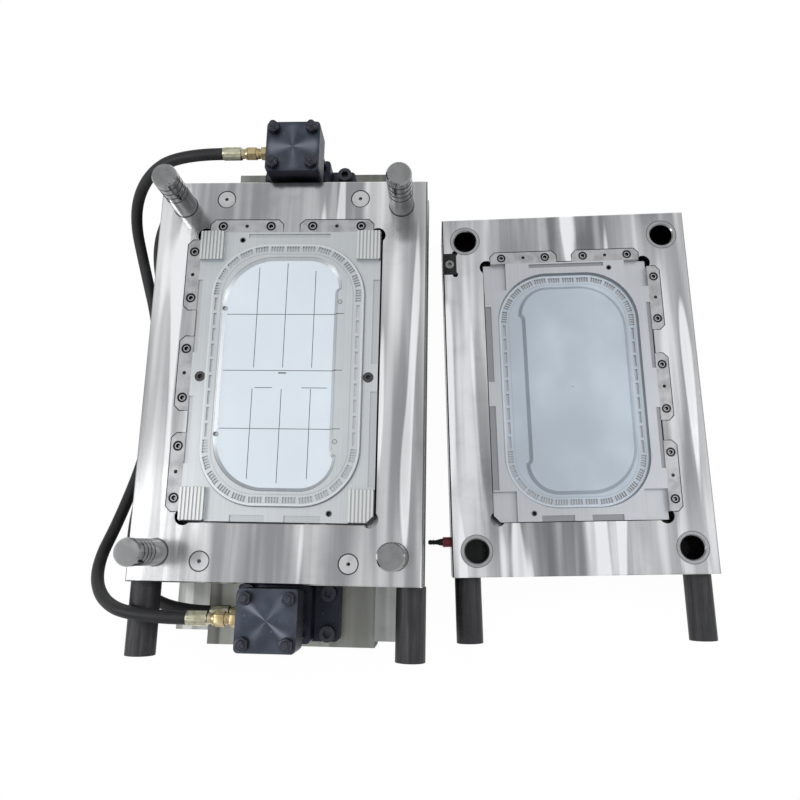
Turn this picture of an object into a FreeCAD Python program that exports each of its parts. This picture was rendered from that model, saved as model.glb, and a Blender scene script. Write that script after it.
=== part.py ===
import FreeCAD, Part
import math
import os
import re
import Sketcher
from FreeCAD import Placement, Rotation, Vector

# An injection mould that lies open: the moving (core) half on the left, the fixed (cavity) half beside it.
# Both halves lie with their parting faces up. Z is up and zero on the floor, the origin is under the
# middle of the moving half, and the fixed half lies beyond it along X, turned a little.
# Millimetres throughout.

DIMENSIONS = [
    # mould plates
    ("plate_width", 450, "both halves, along X"),
    ("plate_length", 660, "both halves, along Y"),
    ("moving_clamp_height", 35, "clamp plate under the moving half"),
    ("spacer_width", 80, "spacer blocks on both sides of the ejector plates"),
    ("spacer_height", 110, ""),
    ("spacer_overrun", 92, "the right block runs on past the lower end of the plates"),
    ("support_height", 50, "plate between the spacers and the core plate"),
    ("core_plate_height", 80, ""),
    ("cavity_plate_height", 80, ""),
    ("fixed_clamp_height", 30, "clamp plate under the fixed half"),
    ("plate_chamfer", 2, "broken edges of the two parting plates"),
    ("halves_apart", 36.9, "between the two halves as they lie"),
    ("fixed_y", 17.9, "how far the fixed half lies up from the moving one"),
    ("fixed_turn", 2.05, "degrees"),
    # guide pillars and bushes
    ("pillar_edge", 42.4, "middle of a pillar, in from the side of its plate"),
    ("pillar_end", 44, "the same from the end"),
    ("pillar_radius", 20, "of its running part"),
    ("pillar_fit_radius", 20.4, "of its fitted part in the core plate"),
    ("pillar_seat_rise", 1.5, "the fitted part ends this much over the parting face"),
    ("pillar_reach", 103, "above the parting face"),
    ("pillar_tip", 4, "chamfer at the tip"),
    ("pillar_head_radius", 23, ""),
    ("pillar_head_height", 10, ""),
    ("oil_groove_depth", 1.2, ""),
    ("oil_groove_width", 3, ""),
    ("oil_groove_pitch", 13, ""),
    ("bush_radius", 27, ""),
    ("bush_head_radius", 30, ""),
    ("bush_head_height", 12, ""),
    ("slide_gap", 0.05, "radial play of everything that slides"),
    ("loose_gap", 0.5, "radial play of holes that only let a part through"),
    # inserts and their pockets
    ("insert_width", 300, "along X"),
    ("insert_length", 476, "along Y"),
    ("insert_depth", 60, "pocket depth and insert height below the parting face"),
    ("relief_gap", 3, "upper part of the pocket stands clear of the core insert by this"),
    ("relief_depth", 45, ""),
    ("cavity_gap", 1.5, "the same gap round the cavity insert"),
    ("corner_relief", 13, "radius of the round reliefs in the pocket corners"),
    ("corner_inset", 6, "their centre, in from the insert corner"),
    ("insert_chamfer", 12, "one cut corner shows which way round the insert goes"),
    # wedge blocks
    ("wedge_length", 122, ""),
    ("wedge_width", 22, ""),
    ("wedge_height", 30, ""),
    ("wedge_corner", 8, "cut outer corners"),
    ("wedge_gap", 0.8, "between a wedge block and its seat"),
    ("top_wedge_x", 75.5, "the two blocks along the upper edge"),
    ("side_wedge_y", 163, "the outer two of three blocks along the side"),
    ("middle_wedge_y", -4.4, "the middle one"),
    ("wedge_screw_spacing", 81, ""),
    # the moulded tray
    ("land_side", 24, "flat land of an insert beside the tray"),
    ("land_end", 23, "the same at both ends of the tray"),
    ("oval_corner", 92, ""),
    ("oval_rise", 6, "the core stands up over its land by this"),
    ("wall_thickness", 2.5, "of the moulded tray"),
    ("rib_inset", 10, "middle of the ring of ribs, in from the outline"),
    ("rib_slot_width", 9, ""),
    ("rib_slot_length", 21, ""),
    ("rib_slot_depth", 3, ""),
    ("rib_pitch", 26.2, ""),
    ("side_slot_width", 5, "the plain slots of the two long sides"),
    ("panel_inset", 26, "floor of the middle panel, in from the outline on its round side"),
    ("panel_end_inset", 29, "the same at both ends"),
    ("panel_bulge", 43, "the same at the ends of its straight side"),
    ("panel_straight", 49, "the same along its straight side"),
    ("panel_corner", 78, "corners of the round side"),
    ("panel_tight_corner", 50, "corners of the straight side"),
    ("panel_depth", 5, ""),
    ("panel_slope", 6, "run of its sloping wall"),
    ("panel_band_half", 142, "half the length of the straight side"),
    ("panel_round", 14, ""),
    ("line_width", 1.2, "split lines of the panel"),
    ("line_depth", 0.8, ""),
    ("line_pitch", 46.7, "between the lines that run down"),
    ("line_middle", -2.3, "the middle one of these"),
    ("line_row", 94, "the outer two lines across, up and down from the middle one"),
    ("line_stub_row", -28, "the two short lines across"),
    ("line_end_gap", 2, "between a line across and the foot of the wall"),
    ("line_overrun", 17, "a line across runs on over the band"),
    # corner locks
    ("lock_width", 40, ""),
    ("lock_length", 52, ""),
    ("lock_height", 9, ""),
    ("lock_gap", 0.6, "between a lock and its pocket"),
    ("lock_ridges", 6, ""),
    ("ridge_depth", 1.2, ""),
    # edge recesses and bolts of the inserts
    ("edge_recess_depth", 2, ""),
    ("insert_bolt_edge", 15, "in from the side of the insert"),
    ("insert_bolt_y", -10, ""),
    ("lift_hole_radius", 3.5, "tapped lifting holes of the inserts"),
    ("lift_hole_x", 81, ""),
    ("lift_hole_end", 14, "in from the end of the insert"),
    # ejector set
    ("ejector_play", 2, "between the ejector plates and the spacer blocks"),
    ("ejector_overrun", 57, "both plates run out past the middle of the cylinders by this"),
    ("ejector_height", 40, ""),
    ("retainer_height", 30, ""),
    ("stop_height", 5, "stop discs under the ejector plate"),
    ("stop_radius", 12, ""),
    ("return_pin_edge", 29.7, "in from the side of the ejector plates"),
    ("return_pin_end", 32, "in from the end of the core plate"),
    ("return_pin_radius", 15, ""),
    ("ejector_pin_radius", 3, ""),
    ("ejector_left_y", 103.5, ""),
    ("ejector_right_y", 114, ""),
    ("pin_head_height", 8, ""),
    ("guide_pin_edge", 25, "in from the side of the ejector plates"),
    ("guide_pin_y", 225, ""),
    ("guide_pin_radius", 12, ""),
    ("guide_bush_radius", 17, ""),
    ("support_pillar_radius", 22, ""),
    ("support_pillar_y", 110, ""),
    ("ejector_rod_hole", 25, "radius of the hole for the machine's ejector rod"),
    # hydraulic cylinders
    ("cylinder_off", 50, "middle of a cylinder, out from the end of the plates"),
    ("clamp_overrun", 42, "the clamp plate runs out past that middle by this"),
    ("cylinder_square", 90, "cap and head"),
    ("cylinder_corner", 7, ""),
    ("cylinder_rise", 28, "cap over the parting face"),
    ("cap_height", 50, ""),
    ("head_height", 40, "square part of the head over its flange"),
    ("flange_width", 172, ""),
    ("flange_height", 30, ""),
    ("flange_screw_edge", 18, "in from the side of the flange"),
    ("flange_screw_y", 32, ""),
    ("barrel_radius", 38, ""),
    ("bore_radius", 31.5, ""),
    ("rod_radius", 18, ""),
    ("rod_thread_radius", 15, ""),
    ("piston_height", 30, ""),
    ("tie_spacing", 63.5, ""),
    ("tie_radius", 6, ""),
    ("tie_rise", 17, "tie rod ends over the cap"),
    ("tie_nut_radius", 10.5, "over the corners"),
    ("tie_nut_height", 10, ""),
    ("port_drop", 23, "cap port under the top of the cap"),
    ("head_port_rise", 23, "head port over the top of the flange"),
    ("port_radius", 8, ""),
    ("adapter_length", 15, ""),
    ("adapter_radius", 13, "over the corners"),
    ("nut_length", 28, ""),
    ("nut_radius", 13.5, "over the corners"),
    ("ferrule_length", 35, ""),
    ("ferrule_radius", 11.5, ""),
    ("hose_radius", 10, ""),
    # legs
    ("leg_radius", 23, ""),
    ("leg_length", 110, ""),
    ("moving_leg_edge", 18, "middle of a leg, in from the side of its plate"),
    ("fixed_leg_edge", 27, ""),
    # sprue and locating ring
    ("ring_radius", 50, ""),
    ("ring_bore", 18, ""),
    ("ring_height", 12, ""),
    ("ring_screw_circle", 37, ""),
    ("sprue_head_radius", 20, ""),
    ("sprue_head_height", 15, ""),
    ("sprue_radius", 9, ""),
    ("sprue_bore", 2.5, ""),
    # side lock and coolant fitting
    ("side_lock_width", 25, ""),
    ("side_lock_length", 42, ""),
    ("side_lock_height", 30, ""),
    ("side_lock_end", 89, "in from the upper end of the plate"),
    ("fitting_end", 61, "in from its lower end"),
    ("fitting_z", 65, ""),
    ("collar_radius", 9, ""),
    ("collar_length", 15, ""),
    ("nipple_radius", 4.5, ""),
    ("nipple_length", 26, ""),
    # screws, holes and clearances
    ("clamp_screw_edge", 25, "in from the side of the plates"),
    ("clamp_screw_y", 225, ""),
    ("clamp_screw", 8, "radius of the long screws that hold each half together"),
    ("clamp_sink", 18, ""),
    ("clamp_grip", 30, ""),
    ("wedge_screw", 4, "radius"),
    ("wedge_screw_sink", 8.5, ""),
    ("wedge_screw_length", 34, ""),
    ("wedge_pull_radius", 3, "pull-out thread in the middle of a wedge block"),
    ("insert_bolt", 5, "radius"),
    ("insert_bolt_sink", 11, ""),
    ("insert_bolt_grip", 18, ""),
    ("leg_screw", 8, "radius"),
    ("leg_sink", 18, ""),
    ("leg_grip", 14, ""),
    ("leg_drop", 40, "middle of the legs under the parting face"),
    ("lift_thread", 8.5, "radius of the eyebolt threads"),
    ("lift_thread_x", 146, "that of the moving half stands clear of the upper cylinder"),
    ("lift_thread_depth", 30, ""),
    ("lift_hole_depth", 25, ""),
    ("joining_screw", 6, "radius of the screws that hold the ejector plates together"),
    ("joining_screw_edge", 19, "in from the side of the ejector plates"),
    ("joining_screw_y", 110, ""),
    ("joining_sink", 14, ""),
    ("joining_grip", 22, ""),
    ("stop_disc_x", 80, ""),
    ("stop_disc_y", 190, ""),
    ("pull_thread", 12, "radius of the thread for the machine's ejector rod"),
    ("flange_screw", 8, "radius"),
    ("flange_grip", 45, ""),
    ("ring_screw", 3, "radius"),
    ("ring_screw_sink", 6.5, ""),
    ("ring_grip", 12, ""),
    ("side_lock_screw", 5, "radius"),
    ("side_lock_sink", 10.5, ""),
    ("side_lock_grip", 15, ""),
    ("side_lock_relief", 5, "radius at the inner corners of its seat"),
    ("centre_hole", 3, "radius in the end of a return pin"),
    ("centre_hole_depth", 8, ""),
    ("rod_clearance", 4, "round the piston rods in the ejector plates"),
    ("support_clearance", 3, "round the support pillars in the ejector plates"),
    ("guide_pin_seat", 20, "depth in the support plate"),
    ("lock_nut_radius", 24, "over the corners"),
    ("lock_nut_sink", 18, ""),
    ("piston_gap", 3, "left over the piston at rest"),
    ("port_depth", 22, ""),
    ("passage_radius", 4, ""),
    ("hose_bore", 4.5, "through the fittings"),
    ("nipple_cone", 9, ""),
    ("nipple_bore", 2.5, ""),
    ("sprue_stop", 14, "end of the sprue bush under the parting face"),
    ("bush_lead", 2, ""),
    # shapes of the inserts
    ("oval_lean", 1, "the wall of the tray leans in by this"),
    ("lock_lean", 0.12, "side slope of a corner lock"),
    ("ridge_width", 2.4, ""),
    ("ridge_pitch", 5.8, ""),
    ("lock_round", 3, ""),
    ("gate_length", 12.5, ""),
    ("gate_width", 2.2, ""),
    ("gate_depth", 2, ""),
    ("gate_x", -2.4, ""),
    ("gate_y", -3.9, ""),
    ("gate_radius", 0.8, "of the hole through the cavity insert"),
]

# sizes that follow from those above
DRIVEN = [
    ("fixed_x", "plate_width + halves_apart", "middle of the fixed half"),
    ("pillar_x", "plate_width / 2 - pillar_edge", ""),
    ("pillar_y", "plate_length / 2 - pillar_end", ""),
    ("oval_width", "insert_width - 2 * land_side", "outline of the tray"),
    ("oval_length", "insert_length - 2 * land_end", ""),
    ("insert_bolt_x", "insert_width / 2 - insert_bolt_edge", ""),
    ("lift_hole_y", "insert_length / 2 - lift_hole_end", ""),
    ("cylinder_y", "plate_length / 2 + cylinder_off", ""),
    ("moving_clamp_length", "2 * (cylinder_y + clamp_overrun)", ""),
    ("ejector_length", "2 * (cylinder_y + ejector_overrun)", ""),
    ("ejector_width", "plate_width - 2 * (spacer_width + ejector_play)", ""),
    ("return_pin_x", "ejector_width / 2 - return_pin_edge", ""),
    ("return_pin_y", "plate_length / 2 - return_pin_end", ""),
    ("guide_pin_x", "ejector_width / 2 - guide_pin_edge", ""),
    ("joining_screw_x", "ejector_width / 2 - joining_screw_edge", ""),
    ("flange_screw_x", "flange_width / 2 - flange_screw_edge", ""),
    ("moving_leg_x", "plate_width / 2 - moving_leg_edge", ""),
    ("fixed_leg_x", "plate_width / 2 - fixed_leg_edge", ""),
    ("clamp_screw_x", "plate_width / 2 - clamp_screw_edge", ""),
    ("side_lock_y", "plate_length / 2 - side_lock_end", ""),
    ("fitting_y", "fitting_end - plate_length / 2", ""),
]

doc = FreeCAD.newDocument("injection_mould")
sheet = doc.addObject("Spreadsheet::Sheet", "dim")
for row, (name, size, note) in enumerate(DIMENSIONS + DRIVEN, start=1):
    sheet.set("A%d" % row, name)
    sheet.set("B%d" % row, "=" + str(size))
    sheet.set("C%d" % row, note)
    sheet.setAlias("B%d" % row, name)
doc.recompute()
WORDS = {name for name, size, note in DIMENSIONS + DRIVEN}

# heights that several sub-parts share, as formulas
PARTING = "(moving_clamp_height + spacer_height + support_height + core_plate_height)"
SUPPORT_TOP = "(moving_clamp_height + spacer_height + support_height)"
SPACER_TOP = "(moving_clamp_height + spacer_height)"
EJECTOR_BOTTOM = "(moving_clamp_height + stop_height)"
RETAINER_BOTTOM = "(moving_clamp_height + stop_height + ejector_height)"
RETAINER_TOP = "(moving_clamp_height + stop_height + ejector_height + retainer_height)"
FIXED_FACE = "(fixed_clamp_height + cavity_plate_height)"
FLANGE_TOP = "(" + RETAINER_TOP + " + flange_height)"
HEAD_TOP = "(" + FLANGE_TOP + " + head_height)"
CAP_TOP = "(" + PARTING + " + cylinder_rise)"
CAP_BOTTOM = "(" + CAP_TOP + " - cap_height)"
EDGE_X = "(plate_width / 2)"
EDGE_Y = "(plate_length / 2)"
WEDGE_OUT_X = "(insert_width / 2 + wedge_width / 2)"
WEDGE_OUT_Y = "(insert_length / 2 + wedge_width / 2)"


def formula(text):
    """Every word that names a dimension gets the sheet's name before it."""
    return re.sub(r"[a-z]\w*", lambda w: "dim." + w.group() if w.group() in WORDS else w.group(), str(text))


def number(text):
    """The value of a formula, worked out in a spare cell of the sheet."""
    sheet.set("E1", "=" + str(text))
    sheet.recompute()
    return float(sheet.get("E1"))


def bind(thing, **sizes):
    for size, text in sizes.items():
        thing.setExpression(size, formula(text))


def place(thing, at):
    for axis, text in zip("xyz", at):
        thing.setExpression("Placement.Base." + axis, formula(text))


TURNS = {"z": Rotation(), "-z": Rotation(Vector(1, 0, 0), 180),
         "x": Rotation(Vector(0, 1, 0), 90), "-x": Rotation(Vector(0, 1, 0), -90),
         "y": Rotation(Vector(1, 0, 0), -90), "-y": Rotation(Vector(1, 0, 0), 90)}


def block(size, at):
    """A box centred at (x, y) that stands on z."""
    box = doc.addObject("Part::Box", "block")
    bind(box, Length=size[0], Width=size[1], Height=size[2])
    place(box, (f"{at[0]} - ({size[0]}) / 2", f"{at[1]} - ({size[1]}) / 2", at[2]))
    return box


def rod(radius, length, at, along="z"):
    """A cylinder from the point at, along an axis."""
    bar = doc.addObject("Part::Cylinder", "rod")
    bind(bar, Radius=radius, Height=length)
    bar.Placement = Placement(Vector(), TURNS[along])
    place(bar, at)
    return bar


def taper(near_radius, far_radius, length, at, along="z"):
    cone = doc.addObject("Part::Cone", "taper")
    bind(cone, Radius1=near_radius, Radius2=far_radius, Height=length)
    cone.Placement = Placement(Vector(), TURNS[along])
    place(cone, at)
    return cone


def hexagon(corner_radius, length, at, along="z"):
    prism = doc.addObject("Part::Prism", "hexagon")
    prism.Polygon = 6
    bind(prism, Circumradius=corner_radius, Height=length)
    prism.Placement = Placement(Vector(), TURNS[along])
    place(prism, at)
    return prism


def fuse(shapes):
    if len(shapes) == 1:
        return shapes[0]
    joined = doc.addObject("Part::MultiFuse", "joined")
    joined.Shapes = shapes
    return joined


def cut(base, tools):
    result = doc.addObject("Part::Cut", "cut")
    result.Base = base
    result.Tool = fuse(tools)
    return result


def together(solids):
    if len(solids) == 1:
        return solids[0]
    bundle = doc.addObject("Part::Compound", "bundle")
    bundle.Links = solids
    return bundle


def four(x, y):
    """The four points of a rectangle about the middle."""
    return [(f"{i} * ({x})", f"{j} * ({y})") for i in (-1, 1) for j in (-1, 1)]


def plane_of(body, role):
    return [feature for feature in body.Origin.OriginFeatures if feature.Role == role][0]


def draw(body, role, corners, rise=None):
    """A closed outline of straight lines, every corner bound to the sheet."""
    sketch = body.newObject("Sketcher::SketchObject", "outline")
    sketch.AttachmentSupport = [(plane_of(body, role), "")]
    sketch.MapMode = "FlatFace"
    if rise is not None:
        sketch.setExpression("AttachmentOffset.Base.z", formula(rise))
    points = [Vector(number(x), number(y), 0) for x, y in corners]
    count = len(points)
    for i in range(count):
        sketch.addGeometry(Part.LineSegment(points[i], points[(i + 1) % count]), False)
    for i in range(count):
        sketch.addConstraint(Sketcher.Constraint("Coincident", i, 2, (i + 1) % count, 1))
    for i, (x, y) in enumerate(corners):
        across = sketch.addConstraint(Sketcher.Constraint("DistanceX", -1, 1, i, 1, points[i].x))
        sketch.setExpression("Constraints[%d]" % across, formula(x))
        up = sketch.addConstraint(Sketcher.Constraint("DistanceY", -1, 1, i, 1, points[i].y))
        sketch.setExpression("Constraints[%d]" % up, formula(y))
    return sketch


def turned(outline, at):
    """A turned part about Z, from its half outline as (radius, height) pairs."""
    body = doc.addObject("PartDesign::Body", "turned")
    sketch = draw(body, "XZ_Plane", outline)
    lathe = body.newObject("PartDesign::Revolution", "lathe")
    lathe.Profile = sketch
    lathe.ReferenceAxis = (sketch, ["V_Axis"])
    lathe.Angle = 360
    place(body, at)
    return body


def padded(corners, height, at):
    """A prism with a straight-sided outline that stands at a point."""
    body = doc.addObject("PartDesign::Body", "padded")
    sketch = draw(body, "XY_Plane", corners)
    pad = body.newObject("PartDesign::Pad", "pad")
    pad.Profile = sketch
    bind(pad, Length=height)
    place(body, at)
    return body


def plate(width, length, height, at):
    """A ground plate with the edges of its upper face broken."""
    corners = [(f"{i} * ({width}) / 2", f"{j} * ({length}) / 2") for i, j in ((-1, -1), (1, -1), (1, 1), (-1, 1))]
    body = padded(corners, height, at)
    doc.recompute()
    pad = body.Tip
    faces = pad.Shape.Faces
    top = max(range(len(faces)), key=lambda i: faces[i].CenterOfMass.z)
    broken = body.newObject("PartDesign::Chamfer", "broken_edges")
    broken.Base = (pad, ["Face%d" % (top + 1)])
    bind(broken, Size="plate_chamfer")
    return body


def rounded(width, length, radius, height, at, flare=None, left_radius=None):
    """A pad with rounded corners that stands at a point. Flare is its growth per side over the height."""
    if left_radius is None:
        left_radius = radius
    body = doc.addObject("PartDesign::Body", "rounded")
    sketch = body.newObject("Sketcher::SketchObject", "outline")
    sketch.AttachmentSupport = [(plane_of(body, "XY_Plane"), "")]
    sketch.MapMode = "FlatFace"
    x, y, right, left = (number(text) for text in (f"({width}) / 2", f"({length}) / 2", radius, left_radius))
    sides = [((left - x, -y), (x - right, -y)), ((x, right - y), (x, y - right)),
             ((x - right, y), (left - x, y)), ((-x, y - left), (-x, left - y))]
    centres = [(x - right, right - y), (x - right, y - right), (left - x, y - left), (left - x, left - y)]
    for i in range(4):
        start, end = (Vector(*point, 0) for point in sides[i])
        sketch.addGeometry(Part.LineSegment(start, end), False)
        circle = Part.Circle(Vector(*centres[i], 0), Vector(0, 0, 1), right if i < 2 else left)
        turn = math.radians(90 * (i - 1))
        sketch.addGeometry(Part.ArcOfCircle(circle, turn, turn + math.pi / 2), False)
    for i in range(4):
        side, corner, following = 2 * i, 2 * i + 1, (2 * i + 2) % 8
        sketch.addConstraint(Sketcher.Constraint("Tangent", side, 2, corner, 1))
        sketch.addConstraint(Sketcher.Constraint("Tangent", corner, 2, following, 1))
        sketch.addConstraint(Sketcher.Constraint("Vertical" if i % 2 else "Horizontal", side))
        if i % 2:
            sketch.addConstraint(Sketcher.Constraint("Equal", corner - 2, corner))
        else:
            held = sketch.addConstraint(Sketcher.Constraint("Radius", corner, left if i else right))
            sketch.setExpression("Constraints[%d]" % held, formula(left_radius if i else radius))
        kind, size, text = (("DistanceY", -y, f"-({length}) / 2"), ("DistanceX", x, f"({width}) / 2"),
                            ("DistanceY", y, f"({length}) / 2"), ("DistanceX", -x, f"-({width}) / 2"))[i]
        held = sketch.addConstraint(Sketcher.Constraint(kind, -1, 1, side, 1, size))
        sketch.setExpression("Constraints[%d]" % held, formula(text))
    pad = body.newObject("PartDesign::Pad", "pad")
    pad.Profile = sketch
    bind(pad, Length=height)
    if flare is not None:
        bind(pad, TaperAngle=f"atan(({flare}) / ({height}))")
    place(body, at)
    return body


STEPS = {"z": (0, 0, 1), "-z": (0, 0, -1), "y": (0, 1, 0), "-y": (0, -1, 0)}


def socket_screw(radius, length, at, along="z"):
    """A socket head screw. Its head points along the axis, its shank runs back from the point at."""
    def moved(distance):
        return [f"{start} + {step} * ({distance})" for start, step in zip(at, STEPS[along])]
    head = rod(f"{radius} * 1.6", f"{radius} * 2", at, along)
    shank = rod(radius, length, moved(f"-({length})"), along)
    socket = hexagon(f"{radius} * 0.85", f"{radius} * 1.3", moved(f"{radius} * 0.8"), along)
    return cut(fuse([head, shank]), [socket])


NODES = {}


def node(name, result, half="moving"):
    """The finished sub-part. Those of the fixed half are made about its own middle and then laid down."""
    if half == "fixed":
        whole = doc.addObject("Part::Compound", name)
        whole.Links = [result]
        whole.setExpression("Placement.Base.x", "dim.fixed_x")
        whole.setExpression("Placement.Base.y", "dim.fixed_y")
        whole.setExpression("Placement.Rotation.Angle", "dim.fixed_turn * 1 deg")
        result = whole
    result.Label = name
    NODES[name] = result
    return result


def shaped(shape):
    """A form worked out below from the sheet's values, where no ready feature fits."""
    feature = doc.addObject("Part::Feature", "form")
    feature.Shape = shape
    return feature


PANEL_LEFT = "(panel_inset - oval_width / 2)"
PANEL_RIGHT = "(oval_width / 2 - panel_straight)"
TRAY = f"({PARTING} + oval_rise)"
PANEL_FLOOR = f"({TRAY} - panel_depth)"

screw_spots = [(f"{i} * clamp_screw_x", f"{j} * clamp_screw_y") for i in (-1, 1) for j in (-1, 0, 1)]
cylinder_spots = {"top": "cylinder_y", "bottom": "-cylinder_y"}
return_spots = four("return_pin_x", "return_pin_y")
guide_spots = four("guide_pin_x", "guide_pin_y")
pillar_spots = four("pillar_x", "pillar_y")
flange_spots = [(x, f"{middle} + {y}") for middle in cylinder_spots.values()
                for x, y in four("flange_screw_x", "flange_screw_y")]
support_spots = [("0", f"{j} * support_pillar_y") for j in (-2.3, -1, 1, 2.3)]
joining_spots = four("joining_screw_x", "joining_screw_y") + four("joining_screw_x", "joining_screw_y + 240")
disc_spots = four("stop_disc_x", "stop_disc_y") + [("-stop_disc_x", 0), ("stop_disc_x", 0)]
# two ejector pins at the foot of the panel's wall, two on the band beyond it
ejector_spots = [(f"{PANEL_LEFT} - ejector_pin_radius / 2", y, PANEL_FLOOR) for y in ("ejector_left_y", "-ejector_left_y")]
ejector_spots += [(f"{PANEL_RIGHT} + panel_slope + ejector_pin_radius + 0.5", y, TRAY)
                  for y in ("ejector_right_y", "-ejector_right_y")]


# Plates of the moving half. The screws run up from counterbores in the clamp plate into the core plate.

def screw_holes(radius, low, high):
    return [rod(radius, f"{high} - ({low})", (x, y, low)) for x, y in screw_spots]


clamp_holes = screw_holes("clamp_screw + loose_gap", 0, "moving_clamp_height")
clamp_holes += [rod("clamp_screw * 1.7", "clamp_sink", (x, y, 0)) for x, y in screw_spots]
for y in cylinder_spots.values():
    clamp_holes += [rod("rod_thread_radius", "moving_clamp_height", (0, y, 0)),
                    rod("lock_nut_radius + 2", "lock_nut_sink", (0, y, 0))]
clamp_holes.append(rod("ejector_rod_hole", "moving_clamp_height", (0, 0, 0)))
clamp_holes += [rod("guide_pin_radius", "moving_clamp_height", (x, y, 0)) for x, y in guide_spots]
node("moving_clamp_plate",
     cut(block(("plate_width", "moving_clamp_length", "moving_clamp_height"), (0, 0, 0)), clamp_holes))

SPACER_X = "(plate_width / 2 - spacer_width / 2)"
for side, sign, overrun in (("left", -1, "0"), ("right", 1, "spacer_overrun")):
    bar = block(("spacer_width", f"plate_length + {overrun}", "spacer_height"),
                (f"{sign} * {SPACER_X}", f"-({overrun}) / 2", "moving_clamp_height"))
    holes = [rod("clamp_screw + loose_gap", "spacer_height", (x, y, "moving_clamp_height"))
             for x, y in screw_spots if x.startswith(f"{sign} ")]
    node("spacer_block_" + side, cut(bar, holes))

support_holes = screw_holes("clamp_screw + loose_gap", SPACER_TOP, SUPPORT_TOP)
support_holes += [rod("return_pin_radius + loose_gap", "support_height", (x, y, SPACER_TOP)) for x, y in return_spots]
support_holes += [rod("ejector_pin_radius + loose_gap", "support_height", (x, y, SPACER_TOP))
                  for x, y, top in ejector_spots]
support_holes += [rod("guide_pin_radius", "guide_pin_seat", (x, y, SPACER_TOP)) for x, y in guide_spots]
node("support_plate", cut(block(("plate_width", "plate_length", "support_height"), (0, 0, SPACER_TOP)), support_holes))


# The pockets of both halves: a square-cornered recess, round reliefs in its corners and seats for the wedge blocks

def wedge_outline(side, gap="0"):
    """A bar with two cut corners on the side away from the insert."""
    long, wide, cut_off = f"wedge_length / 2 + {gap}", f"wedge_width / 2 + {gap}", "wedge_corner"
    bar = [(f"-({long})", f"-({wide})"), (long, f"-({wide})"), (long, f"{wide} - {cut_off}"),
           (f"{long} - {cut_off}", wide), (f"{cut_off} - {long}", wide), (f"-({long})", f"{wide} - {cut_off}")]
    if side == "left":
        return [(f"-({y})", x) for x, y in bar]
    if side == "right":
        return [(y, f"-({x})") for x, y in bar]
    return bar


def wedge_places(sign):
    """Where the five wedge blocks of a half stand: two along the upper edge, three along one side."""
    side = "left" if sign < 0 else "right"
    spots = [("-top_wedge_x", WEDGE_OUT_Y, "top"), ("top_wedge_x", WEDGE_OUT_Y, "top")]
    return spots + [(f"{sign} * {WEDGE_OUT_X}", y, side) for y in ("side_wedge_y", "middle_wedge_y", "-side_wedge_y")]


def wedge_screw_places(sign):
    half = "wedge_screw_spacing / 2"
    spots = []
    for x, y, side in wedge_places(sign):
        for end in (-1, 1):
            spots.append((f"{x} + {end} * {half}", y) if side == "top" else (x, f"{y} + {end} * {half}"))
    return spots


def wedge_seats(sign, face):
    return [padded(wedge_outline(side, "wedge_gap"), "wedge_height", (x, y, f"{face} - wedge_height"))
            for x, y, side in wedge_places(sign)]


def wedge_blocks(sign, face):
    blocks = [padded(wedge_outline(side), "wedge_height", (x, y, f"{face} - wedge_height"))
              for x, y, side in wedge_places(sign)]
    holes = [rod("wedge_screw", "wedge_height", (x, y, f"{face} - wedge_height")) for x, y in wedge_screw_places(sign)]
    holes += [rod("wedge_screw * 1.6 + wedge_gap", "wedge_screw_sink", (x, y, f"{face} - wedge_screw_sink"))
              for x, y in wedge_screw_places(sign)]
    holes += [rod("wedge_pull_radius", "wedge_height / 2", (x, y, f"{face} - wedge_height / 2"))
              for x, y, side in wedge_places(sign)]
    return cut(together(blocks), holes)


def wedge_screws(sign, face):
    return together([socket_screw("wedge_screw", "wedge_screw_length", (x, y, f"{face} - wedge_screw_sink"))
                     for x, y in wedge_screw_places(sign)])


def wedge_threads(sign, face):
    length = "wedge_screw_length + wedge_screw_sink - wedge_height"
    return [rod("wedge_screw", length, (x, y, f"{face} - wedge_height - ({length})"))
            for x, y in wedge_screw_places(sign)]


def pocket(gap, face):
    reliefs = [rod("corner_relief", "insert_depth", (x, y, f"{face} - insert_depth"))
               for x, y in four("insert_width / 2 - corner_inset", "insert_length / 2 - corner_inset")]
    return [block((f"insert_width + 2 * {gap}", f"insert_length + 2 * {gap}", "insert_depth"),
                  (0, 0, f"{face} - insert_depth"))] + reliefs


core_holes = pocket("0", PARTING) + wedge_seats(-1, PARTING) + wedge_threads(-1, PARTING)
core_holes.append(block(("insert_width + relief_gap", "insert_length + relief_gap", "relief_depth"),
                        ("relief_gap / 2", "-relief_gap / 2", f"{PARTING} - relief_depth")))
for x, y in pillar_spots:
    core_holes += [rod("pillar_fit_radius", "core_plate_height", (x, y, SUPPORT_TOP)),
                   rod("pillar_head_radius", "pillar_head_height", (x, y, SUPPORT_TOP))]
core_holes += [rod("return_pin_radius + slide_gap", "core_plate_height", (x, y, SUPPORT_TOP)) for x, y in return_spots]
core_holes += [rod("clamp_screw", "clamp_grip", (x, y, SUPPORT_TOP)) for x, y in screw_spots]
core_holes += [rod("ejector_pin_radius + loose_gap", "core_plate_height", (x, y, SUPPORT_TOP)) for x, y, top in ejector_spots]
core_holes += [rod("insert_bolt", "core_plate_height - insert_depth", (f"{i} * insert_bolt_x", "insert_bolt_y", SUPPORT_TOP))
               for i in (-1, 1)]


def leg_threads(leg_x, height):
    return [rod("leg_screw", "leg_grip", (f"{i} * {leg_x}", f"-{EDGE_Y}", height), "y") for i in (-1, 1)]


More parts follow.
